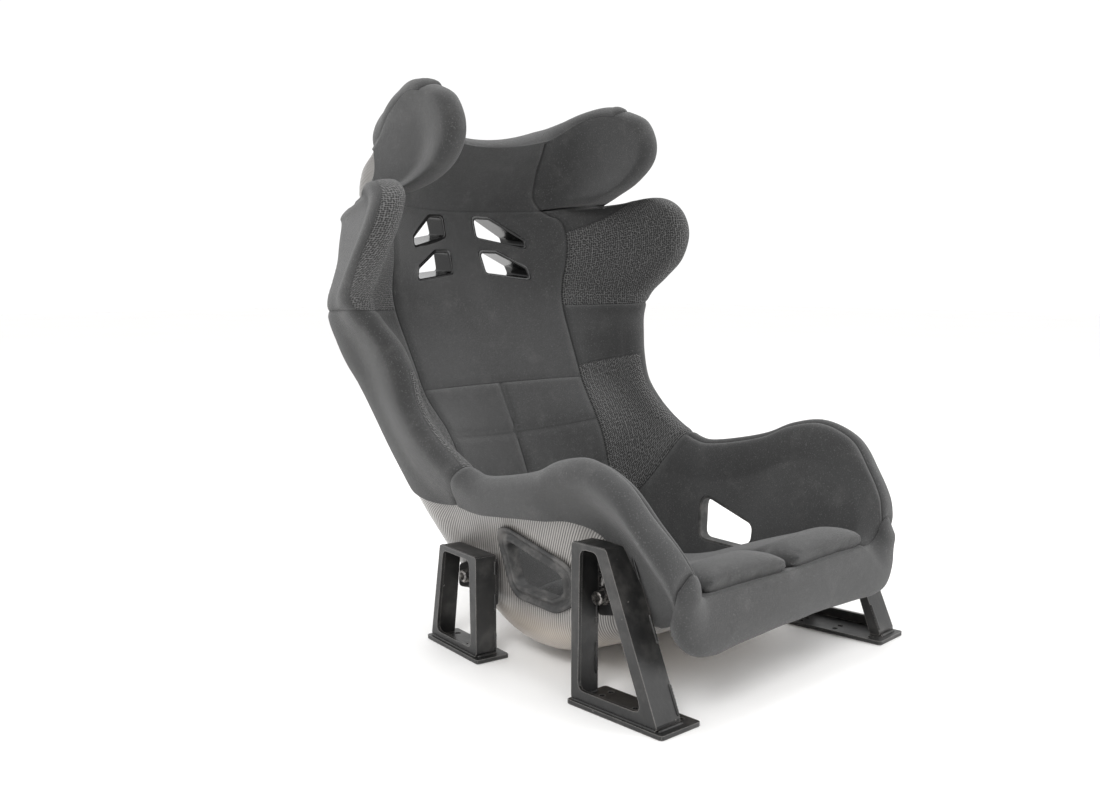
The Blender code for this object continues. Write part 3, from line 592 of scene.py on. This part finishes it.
def composite_material():
    """Ribbed fibre laminate under clear resin: pale yarns between fine dark lines."""
    g = Graph("composite_laminate", roughness=0.34, coat_weight=0.35, coat_roughness=0.2)
    across = g.add("SeparateXYZ", {0: g.uv("Pattern")}, out=1)
    wobble = g.math("MULTIPLY", g.noise(30.0, 2.0), 0.0012)
    phase = g.math("MULTIPLY", g.math("ADD", across, wobble), 2 * math.pi / RIB_PITCH)
    wave = g.math("SINE", phase)
    rib = g.step(wave, -0.55, 0.35)
    yarn = g.blend(g.noise(900.0, 1.0), grey(0.22, 0.04), grey(0.36, 0.05))
    dark = g.blend(g.noise(90.0, 2.0), grey(0.035, 0.05), grey(0.12, 0.06))
    base = g.blend(rib, dark, yarn)
    dirt = g.step(g.noise(9.0, 6.0, rough=0.65), 0.50, 0.72)
    base = g.blend(g.math("MULTIPLY", dirt, 0.5), base, grey(0.12, 0.08))
    height = g.add("SeparateXYZ", {0: g.place}, out=2)
    low = g.math("SUBTRACT", 1.0, g.step(height, 0.045, 0.085))
    base = g.blend(g.math("MULTIPLY", low, 0.6), base, grey(0.42, 0.16))
    g.put(g.shader.inputs["Base Color"], base)
    g.put(g.shader.inputs["Roughness"], g.add("MapRange", {0: dirt, 3: 0.3, 4: 0.6}))
    g.put(g.shader.inputs["Normal"], g.bump(wave, 0.0004, 0.5))
    return g.material


def moulding_material(name, tone, roughness, dust):
    """A dark moulding with dust in patches and fine scratches along it."""
    g = Graph(name, roughness=roughness, specular_ior_level=0.4)
    cloud = g.step(g.noise(28.0, 5.0, rough=0.65), 0.42, 0.7)
    base = g.blend(g.math("MULTIPLY", cloud, dust), grey(tone), grey(tone * 2.6 + 0.03, 0.04))
    scratch = g.add("Mapping", {"Vector": g.place, "Scale": (40.0, 400.0, 60.0)})
    g.put(g.shader.inputs["Base Color"], base)
    worn = {0: g.noise(1.0, 3.0, scratch), 3: roughness * 0.8, 4: min(roughness * 1.3, 1.0)}
    g.put(g.shader.inputs["Roughness"], g.add("MapRange", worn))
    g.put(g.shader.inputs["Normal"], g.bump(g.noise(700.0, 2.0), 0.0002, 0.35))
    return g.material


def steel_material():
    """Satin black paint, worn through to pale primer and steel along the edges."""
    g = Graph("black_paint", roughness=0.38, specular_ior_level=0.55)
    plain = g.add("NewGeometry", out=1)
    soft = g.add("Bevel", {"Radius": 0.0028}, samples=6)
    edge = g.math("SUBTRACT", 1.0, g.add("VectorMath", {0: plain, 1: soft}, 1, operation="DOT_PRODUCT"))
    patches = g.noise(55.0, 6.0, rough=0.7)
    worn = g.step(g.math("ADD", g.math("MULTIPLY", edge, 2.4), g.math("SUBTRACT", patches, 0.66)), 0.12, 0.24)
    chips = g.step(g.noise(140.0, 3.0), 0.73, 0.76)
    dust = g.math("MULTIPLY", g.step(g.noise(16.0, 5.0, rough=0.7), 0.45, 0.75), 0.55)
    base = g.blend(dust, grey(0.011), grey(0.07, 0.05))
    base = g.blend(g.math("MULTIPLY", g.math("MAXIMUM", worn, chips), 0.6), base, grey(0.22, 0.05))
    g.put(g.shader.inputs["Base Color"], base)
    g.put(g.shader.inputs["Roughness"], g.add("MapRange", {0: g.noise(40.0, 4.0), 3: 0.26, 4: 0.58}))
    g.put(g.shader.inputs["Normal"], g.bump(g.noise(240.0, 3.0), 0.0004, 0.5))
    return g.material


def screw_material():
    """Blackened steel, worn bright in patches."""
    g = Graph("oxide_steel", roughness=0.35, metallic=0.9)
    worn = g.step(g.noise(160.0, 5.0, rough=0.7), 0.42, 0.66)
    g.put(g.shader.inputs["Base Color"], g.blend(worn, grey(0.10, 0.03), grey(0.42, 0.06)))
    g.put(g.shader.inputs["Roughness"], g.add("MapRange", {0: worn, 3: 0.32, 4: 0.5}))
    g.put(g.shader.inputs["Normal"], g.bump(g.noise(900.0, 2.0), 0.0002, 0.4))
    return g.material


def floor_material():
    """A plain pale floor."""
    g = Graph("pale_floor", roughness=0.55)
    base = g.blend(g.noise(1.6, 4.0), (0.93, 0.925, 0.915, 1), (0.97, 0.965, 0.96, 1))
    g.put(g.shader.inputs["Base Color"], base)
    g.put(g.shader.inputs["Normal"], g.bump(g.noise(120.0, 3.0), 0.0005, 0.2))
    return g.material


# Covers

def polyline_distance(x, y, points):
    """Distance from each (x, y) to a closed outline."""
    best = np.full(np.shape(x), 1e9)
    for a, b in zip(points, np.roll(points, -1, axis=0)):
        arm = b - a
        t = np.clip(((x - a[0]) * arm[0] + (y - a[1]) * arm[1]) / (arm @ arm), 0, 1)
        best = np.minimum(best, np.hypot(x - a[0] - t * arm[0], y - a[1] - t * arm[1]))
    return best


def finish_cover(name, top, under, side, knit, seams, material, nodes, waves=0.8, depth=SEAM_DEPTH):
    """Sinks a cover's face at its seams, ripples it, and makes the piece. Distances are millimetres."""
    seam = np.minimum.reduce([np.abs(item) for item in seams])
    normal = facing(top, side)
    ripple = sum(np.sin(top @ rng.normal(0, 1 / wide, 3) + rng.uniform(0, 6)) for wide in (26, 34, 48, 60)) / 4
    dip = sunk(seam, SEAM_WIDTH, depth) + sunk(knit, 5.0, 0.8) - waves * ripple
    puffed = top - normal * dip[..., None]
    maps = {
        "Pattern": np.stack([arcs(top, 1), arcs(top, 0)], -1) * MM,
        "Zones": np.stack([knit, seam], -1) * MM,
    }
    piece = solid(name, puffed, under, material, maps)
    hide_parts(*nodes)
    return piece


def side_cover(name, start, end, side, material, nodes, knit_of=None, lines=()):
    """One of the four covers of a side. lines are columns that carry a sewn seam."""
    top = grid_of(start, end, padded_face, side)
    under = grid_of(start, end, cover_under, side)
    across, along = arcs(top, 1), arcs(top, 0)
    seams = [across, along + HEM, along[-1] - along + (SOFT_HEM if end == CROWN else HEM)]
    seams += [across - across[:, [column]] for column in lines]
    rows = np.linspace(start, end, len(top))[:, None]
    knit = np.full(across.shape, -NO_SEAM) if knit_of is None else knit_of(rows, across, along)
    return finish_cover(name, top, under, side, knit, seams, material, nodes)


def shoulder_knit(rows, across, along):
    """Mesh on the inside and crest of the shoulder wing, under a seam that rises outward."""
    crest = across[:, [WALL + ROLL - 5]]
    share = np.clip(across / crest, 0, 1)
    per_row = np.gradient(along, axis=0) * ROWS_PER_SECTION
    top_seam = SHOULDER_KNIT_TOP[0] + (SHOULDER_KNIT_TOP[1] - SHOULDER_KNIT_TOP[0]) * share ** 1.3
    return np.minimum(crest - across, (top_seam - rows) * per_row)


def waist_knit(rows, across, along):
    """Mesh across the inside of the waist, faded out towards the crest."""
    crest = across[:, [WALL + ROLL // 2]]
    share = np.clip(across / crest, 0, 1)
    per_row = np.gradient(along, axis=0) * ROWS_PER_SECTION
    return np.minimum(crest - across, (WAIST_KNIT_TOP + 0.5 * share - rows) * per_row)


def centre_cover(name, start, end, material, nodes, lines=(), columns=(), slots=(), waves=0.8):
    """A cover down the middle. lines are sections, and columns are shares of the half width, with a seam."""
    top = grid_of(start, end, lambda sec: centre_top(sec, GAP))
    under = grid_of(start, end, centre_under)
    across, along = arcs(top, 1), arcs(top, 0)
    rows = np.linspace(start, end, len(top))[:, None]
    per_row = np.gradient(along, axis=0) * ROWS_PER_SECTION
    seams = [across, across[:, [-1]] - across, along + HEM]
    seams += [along[-1] - along + (SOFT_HEM if end == CROWN else HEM)]
    seams += [(rows - line) * per_row for line in lines]
    seams += [across - across[:, [round((len(top[0]) - 1) * column)]] for column in columns]
    knit = np.full(across.shape, -NO_SEAM)
    for outline in slots:
        seams.append(polyline_distance(np.abs(top[..., 0]), top[..., 2], outline) + 2.5)
    return finish_cover(name, top, under, 1, knit, seams, material, nodes, waves=waves)


def end_roll(name, s, outward, thick, finish):
    """A half-round roll of padding along an end of the shell, from one rolled edge to the other."""
    sec = section(s)
    wall, rim, band = 24, 25, 24
    side = bolster_top(sec, 0, wall, rim, band)
    crest = wall + rim // 2
    inside = np.concatenate([centre_top(sec, 0)[CENTRE_COUNT - 1:], side[1:crest]])
    line = shell_line(sec)
    total = lengths(line)[-1]
    count = 80
    outside = resample(line, 0, total, count)
    stand = tapered(sec["roll"], thick, np.linspace(total, 0, count))
    outside = np.concatenate([outside - stand[:, None] * normals(outside), side[crest - 1:crest]])
    halves = [resample(half, 0, lengths(half)[-1], 60)[:-1] for half in (inside, outside)]
    inner, outer = (placed(sec, whole_line(half)) for half in halves)
    near, far = section(max(s - 0.1, 0)), section(min(s + 0.1, LAST))
    away = np.array([0.0] + [far["c" + k] + far["e" + k] - near["c" + k] - near["e" + k] for k in "yz"])
    away *= outward / np.linalg.norm(away)
    middle, half = (inner + outer) / 2, (inner - outer) / 2
    size = np.linalg.norm(half, axis=1)
    angles = np.linspace(0, math.pi, 33)
    top = np.array([[m + h * math.cos(a) + away * (1.0 + r * math.sin(a)) for a in angles]
                    for m, h, r in zip(middle, half, size)])
    under = np.array([[m + h * math.cos(a) * 0.985 + away * 0.6 for a in angles]
                      for m, h in zip(middle, half)])
    across = arcs(top, 1)
    seams = [across + 4, across[:, [-1]] - across + 4]
    flip = np.sign(np.einsum("ijk,k->ij", facing(top), away).sum())
    knit = np.full(across.shape, -NO_SEAM)
    return finish_cover(name, top, under, flip, knit, seams, finish, [name], depth=1.5)


def seat_cushion(word, side, finish):
    """A loose seat cushion: a crowned form between four seams, filled by a short cloth simulation."""
    node = f"seat_cushion_{word}"
    low, high = (np.array(corner) * 1000 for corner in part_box(node))
    front, back, rows = 0.2, 8.1, 46
    around = np.linspace(0, math.pi, 31)
    top, under = [], []
    for s in np.linspace(front, back, rows):
        sec = section(s)
        inner, outer = CUSHION_GAP, sec["seam_x"] - CUSHION_GAP
        x = (inner + outer) / 2 - (outer - inner) / 2 * np.cos(around)
        base = placed(sec, np.stack([x, dish(sec, x) + CUSHION_STAND], 1)) * (side, 1, 1)
        lift = np.array([0, sec["ey"] - sec["cy"], sec["ez"] - sec["cz"]])
        lift /= np.linalg.norm(lift)
        crown = math.sin(math.pi * (0.05 + 0.9 * (s - front) / (back - front))) ** 0.42
        crown = crown * np.sqrt(np.maximum(np.sin(around), 0))
        top.append(base + lift * (CUSHION_EDGE + CUSHION_CROWN * crown)[:, None])
        under.append(base)
    piece = solid(node + "_cover", np.array(top), np.array(under), finish)
    inflate(piece, low, high)
    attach(piece, f"cushion_{word}")
    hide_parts(node)
    return piece


def inflate(piece, low, high, pressure=4.0, frames=16, cap=9.0):
    """Swells a cushion with the cloth simulation, and keeps each point near its start and in its box."""
    remesh = piece.modifiers.new("remesh", "REMESH")
    remesh.mode = "VOXEL"
    remesh.voxel_size = 0.005
    settle(piece)
    start = mesh_points(piece.data)
    cloth = piece.modifiers.new("cloth", "CLOTH")
    cloth.settings.use_pressure = True
    cloth.settings.uniform_pressure_force = pressure
    cloth.settings.effector_weights.gravity = 0
    scene = bpy.context.scene
    for number in range(1, frames + 1):
        scene.frame_set(number)
    graph = bpy.context.evaluated_depsgraph_get()
    swollen = mesh_points(piece.evaluated_get(graph).data)
    piece.modifiers.clear()
    scene.frame_set(1)
    move = swollen - start
    far = np.linalg.norm(move, axis=1, keepdims=True)
    points = start + move * np.minimum(1, cap * MM / np.maximum(far, 1e-9))
    points = np.clip(points, (low + 0.5) * MM, (high + 2.0) * MM)
    piece.data.vertices.foreach_set("co", points.ravel())
    smooth = piece.modifiers.new("smooth", "CORRECTIVE_SMOOTH")
    smooth.iterations = 3
    smooth.use_only_smooth = True
    piece.modifiers.new("subdivide", "SUBSURF").levels = 1
    settle(piece)
    piece.data.shade_smooth()


def mesh_points(mesh):
    points = np.empty(len(mesh.vertices) * 3)
    mesh.vertices.foreach_get("co", points)
    return points.reshape(-1, 3)


# Hard pieces

def wall_x(y, z):
    """Distance of the shell's outer face from the seat's middle plane, at a depth and height."""
    gap = np.hypot(SHELL_POINTS[:, 1] - y, SHELL_POINTS[:, 2] - z)
    return float(SHELL_POINTS[np.argsort(gap)[:6], 0].mean())


def shell_samples():
    """Many points on the outer face of the shell's left side."""
    rows = [section(s) for s in np.linspace(4, 12, 200)]
    return np.concatenate([placed(row, resample(shell_line(row), 60, lengths(shell_line(row))[-1], 160))
                           for row in rows])


SHELL_POINTS = shell_samples()


def shell(material, cutters):
    """The laminate shell, with its openings cut."""
    outer = grid_of(0, LAST, lambda sec: whole_line(shell_points(sec, 0)))
    inner = grid_of(0, LAST, lambda sec: whole_line(shell_points(sec, SHELL_WALL)))
    maps = {"Pattern": np.stack([arcs(outer, 1), arcs(outer, 0)], -1) * MM}
    piece = solid("shell_laminate", inner, outer, material, maps)
    carve(piece, cutters)
    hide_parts("shell")


def sideways(side):
    """Turns (forward, up, outward) at the side of the seat into seat coordinates."""
    return lambda y, z, x: (side * x, y + CENTRE_Y, z)


def lap_cutter(side):
    """A cutter for a lap belt opening."""
    hole = rounded(inset(LAP_OPENING, -TRIM_WALL - GAP), 14 + TRIM_WALL + GAP, 8)
    return prism(hole, sideways(side), LAP_CUT)


def slot_cutters():
    """A cutter for each of the four belt slots."""
    holes = [rounded(inset(outline, -LINER - GAP), 8, 6) for outline in HARNESS_SLOTS.values()]
    return [prism(hole, rearward(side), BACK_CUT) for side, _ in SIDES for hole in holes]


def rearward(side):
    """Turns (across, up, back) behind the sitter into seat coordinates, along the slope of the slots."""
    return lambda x, z, y: (side * x, y, z + SLOT_RISE * (y - CENTRE_Y - SLOT_Y))


def lap_trim(word, side, material):
    """A moulded surround: a raised outer bead, a valley, and an inner bead that turns into the opening."""
    place = sideways(side)
    profile = ((0, -TRIM_DEPTH), (TRIM_WALL, -TRIM_DEPTH), (TRIM_WALL, 1), (9, 1.4), (15, 1.6), (19, 1.8),
               (20, 3.2), (19.6, 5.2), (18, 6.6), (15.5, 7), (13.2, 5.8), (11.5, 4.2), (9.6, 4.0), (7.6, 5.2),
               (5.6, 7.6), (3.4, 8.8), (1.4, 8.2), (0.2, 6.4), (0, 4.0))
    outlines = [rounded(inset(LAP_OPENING, -out), 14 + out, 8) for out, _ in profile]
    loops = []
    for points in zip(*outlines):
        loops.append([place(y, z, wall_x(y + CENTRE_Y, z) + rise)
                      for (y, z), (_, rise) in zip(points, profile)])
    piece = loops_object(f"lap_surround_{word}", loops, material)
    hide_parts(f"lap_belt_trim_{word}")


def surface_y(x, z, depth_of):
    """Depth of a face behind the sitter at a place across and up."""
    points = np.array([placed(sec, np.array([[x, depth_of(sec, x)]]))[0] for sec in BACK_SECTIONS])
    return float(np.interp(z, points[:, 2], points[:, 1]))


BACK_SECTIONS = [section(s) for s in np.linspace(18, 26, 41)]


def slot_liner(level, word, side, outline, material):
    """A glossy sleeve through the back, with a rolled lip at the front."""
    place = rearward(side)
    inner, outer = rounded(outline, SLOT_CORNER, 6), rounded(inset(outline, -LINER), 8, 6)
    lip = rounded(inset(outline, -LINER - 2.4), 9, 6)
    loops = []
    for a, b, c in zip(inner, outer, lip):
        front = surface_y(a[0], a[1], lambda sec, x: float(dish(sec, x))) + 2
        rear = surface_y(a[0], a[1], lambda sec, x: float(np.interp(x, *shell_line(sec).T))) + 4
        loops.append([place(*a, front), place(*a, front - 1.2), place(*((a + b) / 2), front - 2.2),
                      place(*b, front - 2.4), place(*c, front - 1.6), place(*c, front - 0.6), place(*b, front),
                      place(*b, rear), place(*a, rear)])
    piece = loops_object(f"belt_slot_liner_{level}_{word}", loops, material)
    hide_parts(f"harness_slot_{level}_{word}")


def turned(name, profile, centre, place, finish, steps=48):
    """A profile of (radius, outward) turned about a foot's outward axis.

    A third value makes that ring a hexagon or a knurled one.
    """
    loops = []
    for radius, outward, *shape in profile:
        angle = np.linspace(0, 2 * math.pi, steps, endpoint=False)
        size = np.full(steps, float(radius))
        if "hexagon" in shape:
            size = radius / np.cos((angle + math.pi / 6) % (math.pi / 3) - math.pi / 6)
        if "knurl" in shape:
            size = radius * (1 + KNURL * np.sign(np.sin(angle * steps / 4)))
        loops.append([place(centre[0] + r * math.cos(a), centre[1] + r * math.sin(a), outward)
                      for r, a in zip(size, angle)])
    return loops_object(name, loops, finish, closed=False)


def screw(kind, word, place, material):
    """A socket head cap screw in place of the plain solid, standing on the carried-over washer."""
    design = FEET[kind]
    head = -design["depth"] + STEEL + WASHER + GAP
    end, half, rim = head + SCREW, SCREW / 2, SCREW * 0.75
    profile = ((3.0, head + 5.5, "hexagon"), (5.0, head + 5.6, "hexagon"), (5.0, end - 0.8, "hexagon"),
               (5.5, end), (rim - 1.2, end), (rim - 0.3, end - 0.4), (rim, end - 1.4),
               (rim, end - 1.5, "knurl"), (rim, head + 1.5, "knurl"), (rim, head + 1.4),
               (rim - 0.4, head), (half, head), (half, head - 12))
    piece = turned(f"cap_screw_{kind}_{word}", profile, design["bolt"], place, material)
    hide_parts(f"mount_screw_{kind}_{word}")


def bead(path, radius, seed):
    """Loops of a weld bead along a path: a lumpy tube with the ripples of each pool."""
    path = np.asarray(path, float)
    along = lengths(path)
    count = max(int(along[-1] / 1.3), 8)
    at = np.linspace(0, along[-1], count)
    points = np.stack([np.interp(at, along, path[:, k]) for k in range(3)], 1)
    tangent = np.gradient(points, axis=0)
    tangent /= np.linalg.norm(tangent, axis=1, keepdims=True)
    first = np.cross(tangent, (0.31, 0.17, 0.93))
    first /= np.linalg.norm(first, axis=1, keepdims=True)
    second = np.cross(tangent, first)
    noise = np.random.default_rng(seed)
    swell = radius * (0.92 + 0.16 * np.abs(np.sin(at * math.pi / 4.2)) + noise.uniform(-0.1, 0.12, count))
    ends = np.clip(np.minimum(at, along[-1] - at) / (radius * 1.4), 0.25, 1) ** 0.5
    angle = np.linspace(0, 2 * math.pi, 10, endpoint=False)
    return [[p + (u * math.cos(a) + v * math.sin(a)) * r * e for a in angle]
            for p, u, v, r, e in zip(points, first, second, swell, ends)]


def weld_beads(kind, word, place, material):
    """The weld beads of one foot: along its base, down its outer corners and round its screw plate."""
    design = FEET[kind]
    corners, depth, inner = design["side"], design["depth"], -design["depth"] + STEEL
    (b0, low), (b1, _), (t1, top), (t0, _) = (corner[:2] for corner in corners)

    def stretch(a, b, share0, share1):
        a, b = np.array(a, float), np.array(b, float)
        return [place(*(a + (b - a) * share)) for share in np.linspace(share0, share1, 12)]

    runs = [
        (stretch((b0, low, 0.6), (b1, low, 0.6), 0.02, 0.98), 2.0),
        (stretch((b1 + 0.6, low, -2), (b1 + 0.6, low, inner), 0, 1), 2.4),
        (stretch((b0 - 0.4, low, -2), (b0 - 0.4, low, inner), 0, 1), 2.2),
        (stretch((b1, low, inner + 2), (t1, top, inner + 2), 0.04, 0.22), 2.0),
        (stretch((b1, low, inner + 2), (t1, top, inner + 2), 0.44, 0.60), 1.9),
        (stretch((b1, low, inner + 2), (t1, top, inner + 2), 0.80, 0.93), 1.9),
        (stretch((b0 + STEEL, low + 8, inner + 3), (t0 + STEEL, top, inner + 3), 0.08, 0.30), 2.2),
        (stretch((b0 + STEEL, low + 8, inner + 3), (t0 + STEEL, top, inner + 3), 0.42, 0.60), 2.2),
        (stretch((b0 + STEEL, low + 1, -6), (b0 + STEEL, low + 1, inner), 0, 1), 2.4),
        (stretch((t0, top + 0.3, -1), (t1, top + 0.3, -1), 0.05, 0.95), 1.2),
    ]
    verts, faces = [], []
    for seed, (path, radius) in enumerate(runs):
        loops = bead(path, radius, seed)
        rows, cols, base = len(loops), len(loops[0]), len(verts)
        verts.extend(point for loop in loops for point in loop)
        faces.extend([base + i * cols + j, base + i * cols + (j + 1) % cols,
                      base + (i + 1) * cols + (j + 1) % cols, base + (i + 1) * cols + j]
                     for i in range(rows - 1) for j in range(cols))
        faces.append([base + j for j in range(cols)][::-1])
        faces.append([base + (rows - 1) * cols + j for j in range(cols)])
    piece = make_object(f"weld_beads_{kind}_{word}", verts, faces, material)


def repaint(node, material, bevel=0.0):
    """Gives a carried-over solid its finish and softens its edges."""
    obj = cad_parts[node]
    for slot in obj.material_slots:
        slot.material = material
    if bevel:
        edges = obj.modifiers.new("edges", "BEVEL")
        edges.width = bevel * MM
        edges.segments = 2
        edges.limit_method = "ANGLE"
        edges.angle_limit = math.radians(50)


# Studio

def camera():
    """The view from the seat's front right, a little above its middle."""
    data = bpy.data.cameras.new("camera")
    data.sensor_width = 36.0
    data.lens = 37.23
    obj = bpy.data.objects.new("camera", data)
    azimuth, elevation, distance = math.radians(-44.419), math.radians(6.431), 1.7906
    target = np.array([0, CENTRE_Y, 335.23]) * MM
    back = np.array([math.sin(azimuth) * math.cos(elevation), -math.cos(azimuth) * math.cos(elevation),
                     math.sin(elevation)])
    obj.location = target + back * distance
    obj.rotation_euler = (math.pi / 2 - elevation, 0, azimuth)
    bpy.context.scene.collection.objects.link(obj)
    bpy.context.scene.camera = obj


def area_light(name, location, target, size, power):
    data = bpy.data.lights.new(name, "AREA")
    data.shape = "DISK"
    data.size = size
    data.energy = power
    obj = bpy.data.objects.new(name, data)
    obj.location = location
    aim = np.array(target, float) - np.array(location, float)
    obj.rotation_euler = (math.acos(-aim[2] / np.linalg.norm(aim)), 0, math.atan2(aim[0], -aim[1]) + math.pi)
    bpy.context.scene.collection.objects.link(obj)


def studio():
    world = bpy.data.worlds.new("studio")
    world.use_nodes = True
    world.node_tree.nodes["Background"].inputs["Color"].default_value = (1, 1, 1, 1)
    world.node_tree.nodes["Background"].inputs["Strength"].default_value = 1.05
    bpy.context.scene.world = world
    bpy.context.scene.view_settings.view_transform = "Standard"
    area_light("key", (-2.6, -1.6, 2.6), (0, 0, 0.4), 1.6, 62)
    area_light("fill", (1.8, -2.6, 1.8), (0, 0, 0.4), 2.0, 26)
    area_light("top", (0.2, 0.8, 3.0), (0, 0, 0.5), 2.2, 40)
    mesh = bpy.data.meshes.new("floor")
    wide, level = 14.0, -0.0005
    corners = [(x * wide, y * wide, level) for x, y in ((-1, -1), (1, -1), (1, 1), (-1, 1))]
    mesh.from_pydata(corners, [], [(0, 1, 2, 3)])
    mesh.materials.append(floor_material())
    floor = bpy.data.objects.new("floor", mesh)
    bpy.context.scene.collection.objects.link(floor)


def main():
    camera()
    studio()
    velour = velour_material("velour_cover")
    cushion_velour = velour_material("velour_cushion", 0.9, zones=False)
    laminate = composite_material()
    surround = moulding_material("dusty_moulding", 0.035, 0.55, 0.8)
    gloss = moulding_material("gloss_liner", 0.008, 0.16, 0.2)
    paint = steel_material()
    oxide = screw_material()
    slots = [rounded(outline, SLOT_CORNER, 6) for outline in HARNESS_SLOTS.values()]
    for side, word in SIDES:
        thigh = side_cover(f"thigh_cover_{word}", LIP, WAIST_SEAM, side, velour, [f"thigh_bolster_pad_{word}"],
                           lines=(WALL + 3,))
        carve(thigh, [lap_cutter(side)])
        side_cover(f"waist_cover_{word}", WAIST_SEAM, SHOULDER_SEAM, side, velour,
                   [f"waist_bolster_pad_{word}"], waist_knit)
        side_cover(f"shoulder_cover_{word}", SHOULDER_SEAM, NECK, side, velour,
                   [f"shoulder_wing_pad_{word}"], shoulder_knit)
        side_cover(f"head_wing_cover_{word}", HEAD_WING, CROWN, side, velour, [f"head_wing_pad_{word}"])
        seat_cushion(word, side, cushion_velour)
        lap_trim(word, side, surround)
    centre_cover("seat_base_cover", BASE_FRONT, LUMBAR_LOW, velour, ["seat_base_pad"])
    rows = [LUMBAR_LOW + (LUMBAR_TOP - LUMBAR_LOW) * share for share in LUMBAR_ROWS]
    centre_cover("lumbar_cover", LUMBAR_LOW, LUMBAR_TOP, velour, ["lumbar_pad"], rows, (0.5,))
    back = centre_cover("back_panel_cover", LUMBAR_TOP, NECK, velour, ["back_panel_pad"], slots=slots,
                        waves=0.5)
    carve(back, slot_cutters())
    centre_cover("head_cover", NECK, CROWN, velour, ["head_pad"], waves=0.5)
    end_roll("head_top_roll", CROWN, 1, OUTER_GAP + COVER_BAND, velour)
    end_roll("front_edge_roll", LIP, -1, FRONT_ROLL, velour)
    shell(laminate, [lap_cutter(side) for side, _ in SIDES] + slot_cutters())
    for side, word in SIDES:
        for level, outline in HARNESS_SLOTS.items():
            slot_liner(level, word, side, outline, gloss)
        for kind in FEET:
            place = foot_place(kind, side)
            repaint(f"foot_box_{kind}_{word}", paint, 0.9)
            repaint(f"foot_mount_plate_{kind}_{word}", paint, 0.6)
            repaint(f"foot_base_{kind}_{word}", paint, 0.8)
            repaint(f"mount_washer_{kind}_{word}", oxide)
            repaint(f"shell_insert_{kind}_{word}", oxide)
            screw(kind, word, place, oxide)
            weld_beads(kind, word, place, paint)


main()
